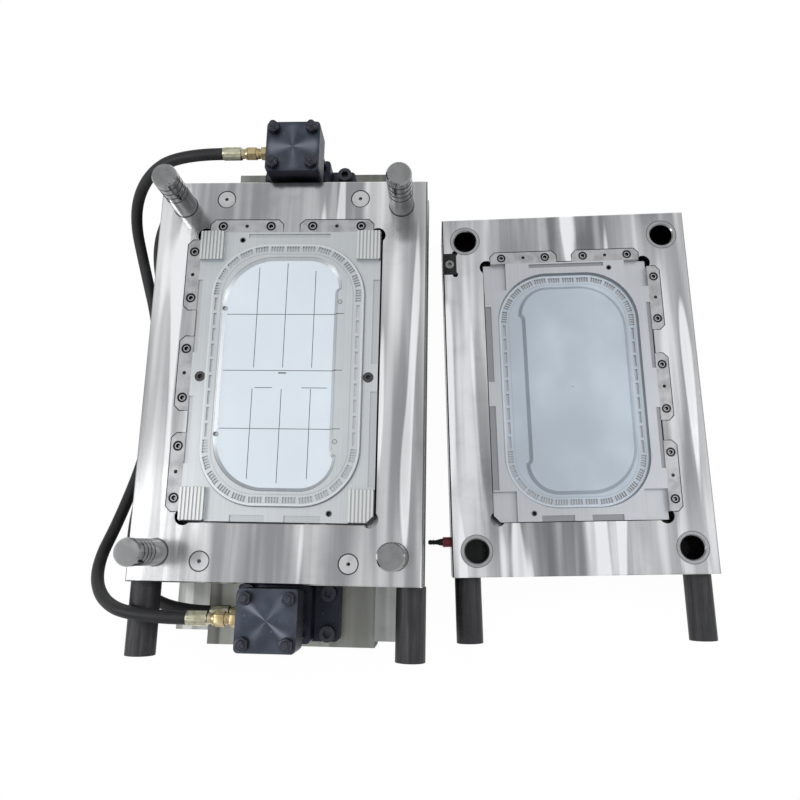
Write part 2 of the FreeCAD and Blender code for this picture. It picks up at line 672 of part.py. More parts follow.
def legs(leg_x, height):
    """Round bars on the lower side of a half, which stands on them when the mould is upright."""
    bars = [rod("leg_radius", "leg_length", (f"{i} * {leg_x}", f"-{EDGE_Y}", height), "-y") for i in (-1, 1)]
    end = f"-{EDGE_Y} - leg_length"
    holes = []
    for i in (-1, 1):
        holes += [rod("leg_screw", "leg_length", (f"{i} * {leg_x}", f"-{EDGE_Y}", height), "-y"),
                  rod("leg_screw * 1.6 + loose_gap", "leg_sink", (f"{i} * {leg_x}", end, height), "y")]
    return cut(together(bars), holes)


def leg_screws(leg_x, height):
    return together([socket_screw("leg_screw", "leg_length - leg_sink + leg_grip",
                                  (f"{i} * {leg_x}", f"leg_sink - {EDGE_Y} - leg_length", height), "-y")
                     for i in (-1, 1)])


MOVING_LEG_Z = f"({PARTING} - leg_drop)"
FIXED_LEG_Z = f"({FIXED_FACE} - leg_drop)"
core_holes += leg_threads("moving_leg_x", MOVING_LEG_Z)
core_holes += [rod("lift_thread", "lift_thread_depth", ("lift_thread_x", EDGE_Y, f"{PARTING} - core_plate_height / 2"), "-y")]
node("core_plate", cut(plate("plate_width", "plate_length", "core_plate_height", (0, 0, SUPPORT_TOP)), core_holes))
node("core_wedge_blocks", wedge_blocks(-1, PARTING))
node("core_wedge_screws", wedge_screws(-1, PARTING))
node("moving_legs", legs("moving_leg_x", MOVING_LEG_Z))
node("moving_leg_screws", leg_screws("moving_leg_x", MOVING_LEG_Z))
node("moving_clamp_screws", together([
    socket_screw("clamp_screw", f"{SUPPORT_TOP} - clamp_sink + clamp_grip", (x, y, "clamp_sink"), "-z")
    for x, y in screw_spots]))


# Inserts. Both carry the outline of the moulded tray: a ring of slots for its ribs round a sunk panel.

def along_ring(distance, width, length, radius):
    """Where a walk round a rounded rectangle has got to, and which way it heads in degrees."""
    reach_x, reach_y = width / 2 - radius, length / 2 - radius
    corners = [(reach_x, reach_y), (-reach_x, reach_y), (-reach_x, -reach_y), (reach_x, -reach_y)]
    for side, (x, y) in enumerate(corners):
        run = 2 * (reach_x if side % 2 else reach_y)
        turn = math.radians(90 * side)
        if distance < run:
            out, back = Vector(math.cos(turn), math.sin(turn), 0), run - distance
            return Vector(x, y, 0) + out * radius + Vector(math.sin(turn), -math.cos(turn), 0) * back, 90 * side + 90
        distance -= run
        if distance < radius * math.pi / 2:
            turn += distance / radius
            return Vector(x + radius * math.cos(turn), y + radius * math.sin(turn), 0), math.degrees(turn) + 90
        distance -= radius * math.pi / 2
    return Vector(reach_x + radius, -reach_y, 0), 90


def rib_slots(bottom):
    """The slots between the ribs, evenly spaced round the ring. Those of the long sides are narrower."""
    width = number("oval_width - 2 * rib_inset")
    length = number("oval_length - 2 * rib_inset")
    radius = number("oval_corner - rib_inset")
    around = 2 * (width + length) - (8 - 2 * math.pi) * radius
    count = round(around / number("rib_pitch"))
    slots = []
    for i in range(count):
        point, heading = along_ring((i + 0.5) * around / count, width, length, radius)
        straight = abs(point.y) < length / 2 - radius
        wide = number("side_slot_width" if straight else "rib_slot_width")
        run, deep = number("rib_slot_length"), number("rib_slot_depth")
        slot = Part.makeBox(run, wide, 2 * deep, Vector(-run / 2, -wide / 2, 0))
        slot.Placement = Placement(Vector(point.x, point.y, number(bottom)), Rotation(Vector(0, 0, 1), heading))
        slots.append(slot)
    return shaped(Part.makeCompound(slots))


def panel(sign, height, bottom, flare, grow="0"):
    """The middle panel: drawn in from the outline of the tray, less the smooth band along one long side."""
    corners = (f"panel_tight_corner + {grow}", f"panel_corner + {grow}")[::sign]
    field = rounded(f"oval_width - panel_inset - panel_bulge + 2 * ({grow})", f"oval_length - 2 * panel_end_inset + 2 * ({grow})",
                    corners[0], height, (f"{sign} * (panel_inset - panel_bulge) / 2", 0, bottom), flare, corners[1])
    band = rounded(f"2 * (panel_straight - {grow})", f"2 * (panel_band_half - {grow})", f"panel_round - {grow}", height,
                   (f"{sign} * oval_width / 2", 0, bottom), f"-({flare})")
    return cut(field, [band])


def line_across(start, end, y, level):
    return block((f"{end} - ({start})", "line_width", "panel_depth + line_depth"),
                 (f"({end} + ({start})) / 2", y, f"{level} - line_depth"))


def line_down(column, start, end):
    return block(("line_width", f"{end} - ({start})", "panel_depth + line_depth"),
                 (f"line_middle + {column} * line_pitch", f"({end} + ({start})) / 2", f"{PANEL_FLOOR} - line_depth"))


def split_lines():
    """The fine lines of the core's panel: three across that run on over the band, and three down each part."""
    wall = f"{PANEL_RIGHT} + panel_slope + line_width"
    lines = []
    for y in ("line_row", "0", "-line_row"):
        lines += [line_across(f"{PANEL_LEFT} + line_end_gap", wall, y, PANEL_FLOOR),
                  line_across(wall, f"{PANEL_RIGHT} + line_overrun", y, TRAY)]
    lines += [line_across(f"line_middle + {start}", f"line_middle + {end}", "line_stub_row", PANEL_FLOOR)
              for start, end in ((-43, -15), (32, 73))]
    for column, upper, lower in ((-1, 175, -173), (0, 182, -179), (1, 169, -172)):
        lines += [line_down(column, 5, upper), line_down(column, lower, "line_stub_row - 2")]
    return lines


# Shallow recesses along the edges of an insert, as on the core: side, from, to, width, land left at the edge.
# The cavity has them the other way round.
EDGE_RECESSES = [("top", -71, 66, 7, 3), ("bottom", -72, -18, 10, 0), ("bottom", 12, 68, 10, 0), ("left", 30, 154, 7, 0),
                 ("left", -150, -42, 7, 0), ("right", 12, 154, 11, 0), ("right", -183, -33, 11, 0)]


def edge_recesses(sign, face):
    low, tools = f"{face} - edge_recess_depth", []
    for side, start, end, width, land in EDGE_RECESSES:
        middle, run = (start + end) / 2, end - start
        out = {"top": "insert_length / 2", "bottom": "-insert_length / 2",
               "left": f"-{sign} * insert_width / 2", "right": f"{sign} * insert_width / 2"}[side]
        inward = {"top": -1, "bottom": 1, "left": sign, "right": -sign}[side]
        across = f"{out} + {inward} * ({land} + {width} / 2)"
        if side in ("top", "bottom"):
            tools.append(block((run, width, "edge_recess_depth"), (sign * middle, across, low)))
        else:
            tools.append(block((width, run, "edge_recess_depth"), (across, middle, low)))
    return tools


def bolt_holes(face):
    holes = []
    for i in (-1, 1):
        spot = (f"{i} * insert_bolt_x", "insert_bolt_y")
        holes += [rod("insert_bolt + loose_gap", "insert_depth", (*spot, f"{face} - insert_depth")),
                  rod("insert_bolt * 1.6 + loose_gap", "insert_bolt_sink", (*spot, f"{face} - insert_bolt_sink"))]
    return holes


def insert_body(face, sign):
    x, y, corner = "insert_width / 2", "insert_length / 2", "insert_chamfer"
    outline = [(f"-({x})", f"-({y})"), (f"{x} - {corner}", f"-({y})"), (x, f"{corner} - {y}"), (x, y), (f"-({x})", y)]
    if sign < 0:
        outline = [(f"-({across})", up) for across, up in outline]
    return padded(outline, "insert_depth", (0, 0, f"{face} - insert_depth"))


LOCKS = four("insert_width / 2 - lock_width / 2", "insert_length / 2 - lock_length / 2")
core_locks = [rounded("lock_width", "lock_length", "lock_round", "lock_height", (x, y, PARTING), "-lock_height * lock_lean")
              for x, y in LOCKS]
ridge_cuts = [block(("ridge_width", "lock_length", "ridge_depth"),
                    (f"{x} + ({i} - (lock_ridges - 1) / 2) * ridge_pitch", y, f"{PARTING} + lock_height - ridge_depth"))
              for x, y in LOCKS for i in range(round(number("lock_ridges")))]
tray = rounded("oval_width", "oval_length", "oval_corner", "oval_rise", (0, 0, PARTING), "-oval_lean")
core_cuts = [panel(1, "panel_depth + 1", PANEL_FLOOR, "panel_slope * (panel_depth + 1) / panel_depth")]
core_cuts += [rib_slots(f"{TRAY} - rib_slot_depth")] + split_lines()
core_cuts += ridge_cuts + edge_recesses(1, PARTING) + bolt_holes(PARTING)
core_cuts += [rod("ejector_pin_radius + slide_gap", f"insert_depth + oval_rise", (x, y, f"{PARTING} - insert_depth"))
              for x, y, top in ejector_spots]
core_cuts += [rod("lift_hole_radius", "lift_hole_depth", (f"{x} * lift_hole_x", f"{y} * lift_hole_y", f"{PARTING} - lift_hole_depth"))
              for x, y in ((-1, 1), (1, -1))]
core_cuts.append(block(("gate_length", "gate_width", "panel_depth + gate_depth"), ("gate_x", "gate_y", f"{PANEL_FLOOR} - gate_depth")))
core_cuts.append(padded([(0, 0), ("-insert_chamfer", 0), (0, "insert_chamfer")], "lock_height",
                        ("insert_width / 2", "-insert_length / 2", PARTING)))
node("core_insert", cut(fuse([insert_body(PARTING, 1), tray] + core_locks), core_cuts))
node("core_insert_screws", together([
    socket_screw("insert_bolt", "core_plate_height - insert_bolt_sink",
                 (f"{i} * insert_bolt_x", "insert_bolt_y", f"{PARTING} - insert_bolt_sink")) for i in (-1, 1)]))


# Pillars, pins and what else stands in the moving half

def pillar(x, y):
    grooves = []
    for i in range(4):
        low = f"{PARTING} + pillar_reach - pillar_tip - ({4 - i}) * oil_groove_pitch"
        high = f"{low} + oil_groove_width"
        deep = "pillar_radius - oil_groove_depth"
        grooves += [("pillar_radius", low), (deep, low), (deep, high), ("pillar_radius", high)]
    top = f"{PARTING} + pillar_reach"
    outline = [(0, SUPPORT_TOP), ("pillar_head_radius", SUPPORT_TOP),
               ("pillar_head_radius", f"{SUPPORT_TOP} + pillar_head_height"),
               ("pillar_fit_radius", f"{SUPPORT_TOP} + pillar_head_height"),
               ("pillar_fit_radius", f"{PARTING} + pillar_seat_rise"), ("pillar_radius", f"{PARTING} + pillar_seat_rise")] + grooves
    outline += [("pillar_radius", f"{top} - pillar_tip"), ("pillar_radius - pillar_tip / 2", top), (0, top)]
    return turned(outline, (x, y, 0))


node("guide_pillars", together([pillar(x, y) for x, y in pillar_spots]))
node("support_pillars", together([rod("support_pillar_radius", "spacer_height", (x, y, "moving_clamp_height"))
                                  for x, y in support_spots]))
node("ejector_guide_pins", together([rod("guide_pin_radius", f"{SPACER_TOP} + guide_pin_seat", (x, y, 0))
                                     for x, y in guide_spots]))
node("stop_discs", together([rod("stop_radius", "stop_height", (x, y, "moving_clamp_height")) for x, y in disc_spots]))


# Ejector set: two plates that carry the pins, and outside the mould the two cylinders that lift them

def both_plates(low, height):
    holes = [rod("rod_radius + rod_clearance", height, (0, y, low)) for y in cylinder_spots.values()]
    holes += [rod("support_pillar_radius + support_clearance", height, (x, y, low)) for x, y in support_spots]
    holes += [rod("guide_bush_radius", height, (x, y, low)) for x, y in guide_spots]
    return holes + [rod("flange_screw", height, (x, y, low)) for x, y in flange_spots]


lower_holes = both_plates(EJECTOR_BOTTOM, "ejector_height")
lower_holes += [rod("pull_thread", "ejector_height", (0, 0, EJECTOR_BOTTOM))]
for x, y in joining_spots:
    lower_holes += [rod("joining_screw", "ejector_height", (x, y, EJECTOR_BOTTOM)),
                    rod("joining_screw * 1.6 + loose_gap", "joining_sink", (x, y, EJECTOR_BOTTOM))]
node("ejector_plate", cut(block(("ejector_width", "ejector_length", "ejector_height"), (0, 0, EJECTOR_BOTTOM)), lower_holes))

upper_holes = both_plates(RETAINER_BOTTOM, "retainer_height")
upper_holes += [rod("joining_screw", "joining_grip", (x, y, RETAINER_BOTTOM)) for x, y in joining_spots]
for x, y in return_spots:
    upper_holes += [rod("return_pin_radius", "retainer_height", (x, y, RETAINER_BOTTOM)),
                    rod("return_pin_radius + 3", "pin_head_height", (x, y, RETAINER_BOTTOM))]
for x, y, top in ejector_spots:
    upper_holes += [rod("ejector_pin_radius", "retainer_height", (x, y, RETAINER_BOTTOM)),
                    rod("ejector_pin_radius + 2.5", "pin_head_height", (x, y, RETAINER_BOTTOM))]
node("ejector_retainer_plate",
     cut(block(("ejector_width", "ejector_length", "retainer_height"), (0, 0, RETAINER_BOTTOM)), upper_holes))
node("ejector_plate_screws", together([
    socket_screw("joining_screw", "ejector_height - joining_sink + joining_grip",
                 (x, y, f"{EJECTOR_BOTTOM} + joining_sink"), "-z") for x, y in joining_spots]))


def return_pin(x, y):
    head, shank = "return_pin_radius + 3", "return_pin_radius"
    outline = [(0, RETAINER_BOTTOM), (head, RETAINER_BOTTOM), (head, f"{RETAINER_BOTTOM} + pin_head_height"),
               (shank, f"{RETAINER_BOTTOM} + pin_head_height"), (shank, f"{PARTING} - 1"),
               (f"{shank} - 1", PARTING), ("centre_hole", PARTING), ("centre_hole", f"{PARTING} - centre_hole_depth"),
               (0, f"{PARTING} - centre_hole_depth")]
    return turned(outline, (x, y, 0))


node("return_pins", together([return_pin(x, y) for x, y in return_spots]))
node("ejector_pins", together([fuse([
    rod("ejector_pin_radius", f"{top} - {RETAINER_BOTTOM}", (x, y, RETAINER_BOTTOM)),
    rod("ejector_pin_radius + 2.5", "pin_head_height", (x, y, RETAINER_BOTTOM))]) for x, y, top in ejector_spots]))
node("ejector_guide_bushes", together([turned(
    [("guide_pin_radius + slide_gap", 0), ("guide_bush_radius", 0), ("guide_bush_radius", "ejector_height + retainer_height"),
     ("guide_pin_radius + slide_gap", "ejector_height + retainer_height")], (x, y, EJECTOR_BOTTOM))
    for x, y in guide_spots]))


# Hydraulic cylinders. The body and the ejector plates rise together along the rod, which the clamp plate holds.

TIES = four("tie_spacing / 2", "tie_spacing / 2")
CAP_PORT = f"({CAP_TOP} - port_drop)"
HEAD_PORT = f"({FLANGE_TOP} + head_port_rise)"
for end, middle in cylinder_spots.items():
    ties = [(x, f"{middle} + {y}") for x, y in TIES]
    face_x = "-cylinder_square / 2"
    cap_holes = [rod("tie_radius", "cap_height", (x, y, CAP_BOTTOM)) for x, y in ties]
    cap_holes += [rod("port_radius", "port_depth", (face_x, middle, CAP_PORT), "x"),
                  rod("passage_radius", f"{CAP_PORT} - {CAP_BOTTOM}", (f"{face_x} + port_depth - passage_radius", middle, CAP_BOTTOM))]
    node(end + "_cylinder_cap", cut(rounded("cylinder_square", "cylinder_square", "cylinder_corner", "cap_height",
                                            (0, middle, CAP_BOTTOM)), cap_holes))
    barrel = rod("barrel_radius", f"{CAP_BOTTOM} - {HEAD_TOP}", (0, middle, HEAD_TOP))
    node(end + "_cylinder_barrel", cut(barrel, [rod("bore_radius", f"{CAP_BOTTOM} - {HEAD_TOP}", (0, middle, HEAD_TOP))]))
    head_holes = [rod("rod_radius + slide_gap", "flange_height + head_height", (0, middle, RETAINER_TOP))]
    head_holes += [rod("tie_radius", "head_height", (x, y, FLANGE_TOP)) for x, y in ties]
    head_holes += [rod("flange_screw + loose_gap", "flange_height", (x, f"{middle} + {y}", RETAINER_TOP))
                   for x, y in four("flange_screw_x", "flange_screw_y")]
    head_holes += [rod("port_radius", "port_depth", (face_x, middle, HEAD_PORT), "x"),
                   rod("passage_radius", f"{HEAD_TOP} - {HEAD_PORT}", (f"{face_x} + port_depth - passage_radius", middle, HEAD_PORT))]
    head = fuse([rounded("cylinder_square", "cylinder_square", "cylinder_corner", "head_height", (0, middle, FLANGE_TOP)),
                 rounded("flange_width", "cylinder_square", "cylinder_corner", "flange_height", (0, middle, RETAINER_TOP))])
    node(end + "_cylinder_head", cut(head, head_holes))
    node(end + "_cylinder_tie_rods", together([
        rod("tie_radius", f"{CAP_TOP} + tie_rise - {FLANGE_TOP}", (x, y, FLANGE_TOP)) for x, y in ties]))
    node(end + "_cylinder_tie_nuts", together([
        cut(hexagon("tie_nut_radius", "tie_nut_height", (x, y, CAP_TOP)), [rod("tie_radius", "tie_nut_height", (x, y, CAP_TOP))])
        for x, y in ties]))
    node(end + "_cylinder_flange_screws", together([
        socket_screw("flange_screw", "flange_height + flange_grip", (x, f"{middle} + {y}", FLANGE_TOP))
        for x, y in four("flange_screw_x", "flange_screw_y")]))
    piston_low = f"{CAP_BOTTOM} - piston_gap - piston_height"
    piston_high = f"{CAP_BOTTOM} - piston_gap"
    node(end + "_piston_rod", turned(
        [(0, "lock_nut_sink / 4"), ("rod_thread_radius", "lock_nut_sink / 4"), ("rod_thread_radius", "moving_clamp_height"),
         ("rod_radius", "moving_clamp_height"), ("rod_radius", piston_low), ("bore_radius - slide_gap", piston_low),
         ("bore_radius - slide_gap", piston_high), (0, piston_high)], (0, middle, 0)))
node("rod_lock_nuts", together([
    cut(hexagon("lock_nut_radius", "lock_nut_sink / 2", (0, y, "lock_nut_sink / 2")),
        [rod("rod_thread_radius", "lock_nut_sink / 2", (0, y, "lock_nut_sink / 2"))]) for y in cylinder_spots.values()]))


# Ports, fittings and hoses, all on the side of the cylinders that faces away from the fixed half

ports = [(middle, height) for middle in cylinder_spots.values() for height in (CAP_PORT, HEAD_PORT)]
ADAPTER_END = "(-cylinder_square / 2 - adapter_length)"
NUT_END = f"({ADAPTER_END} - nut_length)"
node("port_adapters", together([cut(
    fuse([hexagon("adapter_radius", "adapter_length", ("-cylinder_square / 2", y, z), "-x"),
          rod("port_radius", "port_depth - 2 * passage_radius", ("-cylinder_square / 2", y, z), "x")]),
    [rod("hose_bore", "adapter_length + port_depth", (ADAPTER_END, y, z), "x")]) for y, z in ports]))
node("swivel_nuts", together([cut(
    hexagon("nut_radius", "nut_length", (ADAPTER_END, y, z), "-x"),
    [rod("hose_bore", "nut_length", (ADAPTER_END, y, z), "-x")]) for y, z in ports]))
node("hose_ferrules", together([cut(
    rod("ferrule_radius", "ferrule_length", (NUT_END, y, z), "-x"),
    [rod("hose_bore", "ferrule_length", (NUT_END, y, z), "-x")]) for y, z in ports]))

# Each route runs from the lower cylinder round the side of the mould to the upper one. Its points are given
# from the left side of the plates, as shares of the way from the middle to a cylinder, and from the parting face.
HOSE_ROUTES = {
    "cap_side_hose": [(19, -1, 5), (-53, -0.9474, -38), (-93, -0.8158, -98), (-87, -0.6053, -158),
                      (-60, -0.2895, -180), (-50, 0.0263, -183), (-60, 0.3421, -180), (-87, 0.6316, -155),
                      (-93, 0.8421, -100), (-50, 0.9632, -40), (25, 1, 5)],
    "rod_side_hose": [(33, -1, -112), (-43, -0.8947, -141), (-74, -0.6842, -182), (-73, -0.4368, -210),
                      (-51, -0.1842, -222), (-37, 0.0737, -226), (-46, 0.3263, -222), (-71, 0.5526, -207),
                      (-77, 0.7789, -176), (-37, 0.9316, -136), (33, 1, -112)],
}


def hose(name, height):
    """Straight runs joined by arcs as wide as the shorter run beside each allows."""
    side, face, radius, reach = number(EDGE_X), number(PARTING), number("hose_radius"), number("cylinder_y")
    end_x = number(f"{NUT_END} - ferrule_length")
    points = [Vector(end_x, -reach, number(height))] + [Vector(x - side, share * reach, face + z) for x, share, z in HOSE_ROUTES[name]]
    points += [Vector(end_x, reach, number(height))]
    edges, start, bends = [], points[0], []
    for before, corner, after in zip(points, points[1:], points[2:]):
        back, ahead = (before - corner), (after - corner)
        trim = 0.45 * min(back.Length, ahead.Length)
        turn = math.pi - back.getAngle(ahead)
        bend = trim / math.tan(turn / 2)
        bends.append(round(bend))
        back.normalize()
        ahead.normalize()
        first, last = corner + back * trim, corner + ahead * trim
        middle_way = (back + ahead).normalize()
        centre = corner + middle_way * (bend / math.cos(turn / 2))
        edges += [Part.LineSegment(start, first).toShape(),
                  Part.Arc(first, centre - middle_way * bend, last).toShape()]
        start = last
    edges.append(Part.LineSegment(start, points[-1]).toShape())
    path = Part.Wire(edges)
    section = Part.Face(Part.Wire(Part.makeCircle(radius, points[0], points[1] - points[0])))
    tube = path.makePipe(section)
    print(name, "length", round(path.Length), "radii", bends, "volume against section times length",
          round(tube.Volume / (math.pi * radius ** 2 * path.Length), 4))
    return shaped(tube)


node("cap_side_hose", hose("cap_side_hose", CAP_PORT))
node("rod_side_hose", hose("rod_side_hose", HEAD_PORT))


# The fixed half, about its own middle

clamp_fixed_holes = [rod("clamp_screw + loose_gap", "fixed_clamp_height", (x, y, 0)) for x, y in screw_spots]
clamp_fixed_holes += [rod("clamp_screw * 1.7", "clamp_sink", (x, y, 0)) for x, y in screw_spots]
clamp_fixed_holes += [rod("ring_radius", "ring_height", (0, 0, 0)),
                      rod("sprue_head_radius", "sprue_head_height", (0, 0, "ring_height")),
                      rod("sprue_radius", "fixed_clamp_height", (0, 0, 0))]
RING_SCREWS = four("ring_screw_circle * 0.7071", "ring_screw_circle * 0.7071")
clamp_fixed_holes += [rod("ring_screw", "ring_grip", (x, y, "ring_height")) for x, y in RING_SCREWS]
node("fixed_clamp_plate", cut(block(("plate_width", "plate_length", "fixed_clamp_height"), (0, 0, 0)), clamp_fixed_holes),
     "fixed")
node("fixed_clamp_screws", together([
    socket_screw("clamp_screw", "fixed_clamp_height - clamp_sink + clamp_grip", (x, y, "clamp_sink"), "-z")
    for x, y in screw_spots]), "fixed")
node("locating_ring", cut(rod("ring_radius", "ring_height", (0, 0, 0)), [rod("ring_bore", "ring_height", (0, 0, 0))] + [
    rod(radius, deep, (x, y, 0)) for x, y in RING_SCREWS
    for radius, deep in (("ring_screw", "ring_height"), ("ring_screw * 1.6 + loose_gap", "ring_screw_sink"))]), "fixed")
node("locating_ring_screws", together([
    socket_screw("ring_screw", "ring_height - ring_screw_sink + ring_grip", (x, y, "ring_screw_sink"), "-z")
    for x, y in RING_SCREWS]), "fixed")
SPRUE_END = f"({FIXED_FACE} - sprue_stop)"
node("sprue_bush", turned(
    [("sprue_bore", "ring_height"), ("sprue_head_radius", "ring_height"), ("sprue_head_radius", "ring_height + sprue_head_height"),
     ("sprue_radius", "ring_height + sprue_head_height"), ("sprue_radius", SPRUE_END), ("sprue_bore * 1.6", SPRUE_END)],
    (0, 0, 0)), "fixed")

cavity_holes = pocket("cavity_gap", FIXED_FACE) + wedge_seats(1, FIXED_FACE) + wedge_threads(1, FIXED_FACE)
for x, y in pillar_spots:
    cavity_holes += [rod("bush_radius", "cavity_plate_height", (x, y, "fixed_clamp_height")),
                     rod("bush_head_radius", "bush_head_height", (x, y, "fixed_clamp_height"))]
cavity_holes += [rod("clamp_screw", "clamp_grip", (x, y, "fixed_clamp_height")) for x, y in screw_spots]
for i in (-1, 1):
    spot = (f"{i} * insert_bolt_x", "insert_bolt_y", "fixed_clamp_height")
    cavity_holes += [rod("insert_bolt + loose_gap", "cavity_plate_height - insert_depth", spot),
                     rod("insert_bolt * 1.6 + loose_gap", "insert_bolt_sink", spot)]
cavity_holes += [rod("sprue_radius", "cavity_plate_height", (0, 0, "fixed_clamp_height"))]
cavity_holes += leg_threads("fixed_leg_x", FIXED_LEG_Z)
SIDE_LOCK_X = "(-plate_width / 2 + side_lock_width / 2)"
SIDE_LOCK_LOW = f"{FIXED_FACE} - side_lock_height"
cavity_holes += [block(("side_lock_width", "side_lock_length", "side_lock_height"), (SIDE_LOCK_X, "side_lock_y", SIDE_LOCK_LOW))]
cavity_holes += [rod("side_lock_relief", "side_lock_height",
                     ("side_lock_width - plate_width / 2 - side_lock_relief / 2", f"side_lock_y + {i} * side_lock_length / 2", SIDE_LOCK_LOW))
                 for i in (-1, 1)]
cavity_holes += [rod("side_lock_screw", "side_lock_grip", (SIDE_LOCK_X, "side_lock_y", f"{SIDE_LOCK_LOW} - side_lock_grip"))]
cavity_holes += [rod("nipple_radius", "collar_length", (f"-{EDGE_X}", "fitting_y", "fitting_z"), "x")]
cavity_holes += [rod("lift_thread", "lift_thread_depth", (0, EDGE_Y, f"{FIXED_FACE} - cavity_plate_height / 2"), "-y")]
node("cavity_plate", cut(plate("plate_width", "plate_length", "cavity_plate_height", (0, 0, "fixed_clamp_height")), cavity_holes),
     "fixed")
node("cavity_wedge_blocks", wedge_blocks(1, FIXED_FACE), "fixed")
node("cavity_wedge_screws", wedge_screws(1, FIXED_FACE), "fixed")
node("fixed_legs", legs("fixed_leg_x", FIXED_LEG_Z), "fixed")
node("fixed_leg_screws", leg_screws("fixed_leg_x", FIXED_LEG_Z), "fixed")


def bush(x, y):
    bore = "pillar_radius + slide_gap"
    outline = [(bore, "fixed_clamp_height"), ("bush_head_radius", "fixed_clamp_height"),
               ("bush_head_radius", "fixed_clamp_height + bush_head_height"),
               ("bush_radius", "fixed_clamp_height + bush_head_height"), ("bush_radius", FIXED_FACE),
               (f"{bore} + bush_lead", FIXED_FACE), (bore, f"{FIXED_FACE} - bush_lead")]
    return turned(outline, (x, y, 0))


node("guide_bushes", together([bush(x, y) for x, y in pillar_spots]), "fixed")

HOLLOW = "(oval_rise + wall_thickness)"
HOLLOW_FLOOR = f"({FIXED_FACE} - {HOLLOW})"
hollow = rounded("oval_width", "oval_length", "oval_corner", HOLLOW, (0, 0, HOLLOW_FLOOR), "oval_lean")
island = panel(-1, "panel_depth", HOLLOW_FLOOR, "-panel_slope", "panel_slope")
lock_pockets = [block(("lock_width + 2 * lock_gap", "lock_length + 2 * lock_gap", "lock_height + lock_gap"),
                      (x, y, f"{FIXED_FACE} - lock_height - lock_gap")) for x, y in LOCKS]
cavity_cuts = lock_pockets + [rib_slots(f"{HOLLOW_FLOOR} - rib_slot_depth")]
cavity_cuts += edge_recesses(-1, FIXED_FACE)
cavity_cuts += [rod("insert_bolt", "insert_bolt_grip", (f"{i} * insert_bolt_x", "insert_bolt_y", f"{FIXED_FACE} - insert_depth"))
                for i in (-1, 1)]
cavity_cuts += [rod("lift_hole_radius", "lift_hole_depth", (f"{x} * lift_hole_x", f"{y} * lift_hole_y", f"{FIXED_FACE} - lift_hole_depth"))
                for x, y in ((1, 1), (-1, -1))]
cavity_cuts += [rod("sprue_radius", f"insert_depth - sprue_stop", (0, 0, f"{FIXED_FACE} - insert_depth")),
                rod("gate_radius", "insert_depth", (0, 0, f"{FIXED_FACE} - insert_depth"))]
node("cavity_insert", cut(fuse([cut(insert_body(FIXED_FACE, -1), [hollow]), island]), cavity_cuts), "fixed")
node("cavity_insert_screws", together([
    socket_screw("insert_bolt", "cavity_plate_height - insert_depth - insert_bolt_sink + insert_bolt_grip",
                 (f"{i} * insert_bolt_x", "insert_bolt_y", "fixed_clamp_height + insert_bolt_sink"), "-z") for i in (-1, 1)]), "fixed")

lock_hole = [rod("side_lock_screw", "side_lock_height", (SIDE_LOCK_X, "side_lock_y", SIDE_LOCK_LOW)),
             rod("side_lock_screw * 1.6 + loose_gap", "side_lock_sink", (SIDE_LOCK_X, "side_lock_y", f"{FIXED_FACE} - side_lock_sink"))]
node("side_lock", cut(block(("side_lock_width", "side_lock_length", "side_lock_height"),
                            (SIDE_LOCK_X, "side_lock_y", SIDE_LOCK_LOW)), lock_hole), "fixed")
node("side_lock_bolt", socket_screw("side_lock_screw", "side_lock_height - side_lock_sink + side_lock_grip",
                                    (SIDE_LOCK_X, "side_lock_y", f"{FIXED_FACE} - side_lock_sink")), "fixed")
node("nipple_collar", cut(rod("collar_radius", "collar_length", (f"-{EDGE_X}", "fitting_y", "fitting_z"), "-x"),
                          [rod("nipple_radius", "collar_length", (f"-{EDGE_X}", "fitting_y", "fitting_z"), "-x")]), "fixed")
COLLAR_END = f"(-{EDGE_X} - collar_length)"
node("coolant_nipple", cut(
    fuse([rod("nipple_radius", "2 * collar_length", (COLLAR_END, "fitting_y", "fitting_z"), "x"),
          taper("collar_radius * 0.9", "nipple_radius", "nipple_cone", (COLLAR_END, "fitting_y", "fitting_z"), "-x"),
          rod("nipple_radius", "nipple_length", (COLLAR_END, "fitting_y", "fitting_z"), "-x")]),
    [rod("nipple_bore", "nipple_length + 2 * collar_length", (f"{COLLAR_END} - nipple_length", "fitting_y", "fitting_z"), "x")]),
     "fixed")


doc.recompute()
for thing in doc.Objects:
    if {"Invalid", "Error"} & set(thing.State):
        raise RuntimeError("failed: " + thing.Name + " " + thing.Label)
os.makedirs("parts", exist_ok=True)
for name, thing in NODES.items():
    shape = thing.Shape
    if shape.isNull() or not shape.isValid() or not shape.Solids:
        raise RuntimeError("not a valid solid: " + name)
    shape.exportStep("parts/" + name + ".step")
print(len(NODES), "sub-parts")
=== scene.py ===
import math

import bmesh
import bpy
from mathutils import Matrix, Vector


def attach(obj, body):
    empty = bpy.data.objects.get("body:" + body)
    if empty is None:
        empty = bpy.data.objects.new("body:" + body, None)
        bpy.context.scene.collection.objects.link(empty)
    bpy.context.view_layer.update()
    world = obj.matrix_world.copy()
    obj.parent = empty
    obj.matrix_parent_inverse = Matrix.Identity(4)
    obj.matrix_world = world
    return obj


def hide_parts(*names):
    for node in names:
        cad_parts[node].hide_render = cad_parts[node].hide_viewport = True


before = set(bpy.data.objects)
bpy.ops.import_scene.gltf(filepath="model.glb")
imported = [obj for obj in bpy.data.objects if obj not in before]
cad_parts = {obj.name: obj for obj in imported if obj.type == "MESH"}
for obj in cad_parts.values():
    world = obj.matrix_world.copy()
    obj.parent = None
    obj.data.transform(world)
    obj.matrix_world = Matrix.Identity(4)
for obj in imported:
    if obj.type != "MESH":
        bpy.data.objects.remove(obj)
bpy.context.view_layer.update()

# An injection mould that lies open: the core half with its two hydraulic cylinders, and the cavity half.
# Metres, Z up, the origin under the middle of the core half.
PARTING = 0.275
FIXED_FACE = 0.110
FIXED_TURN = math.radians(2.05)
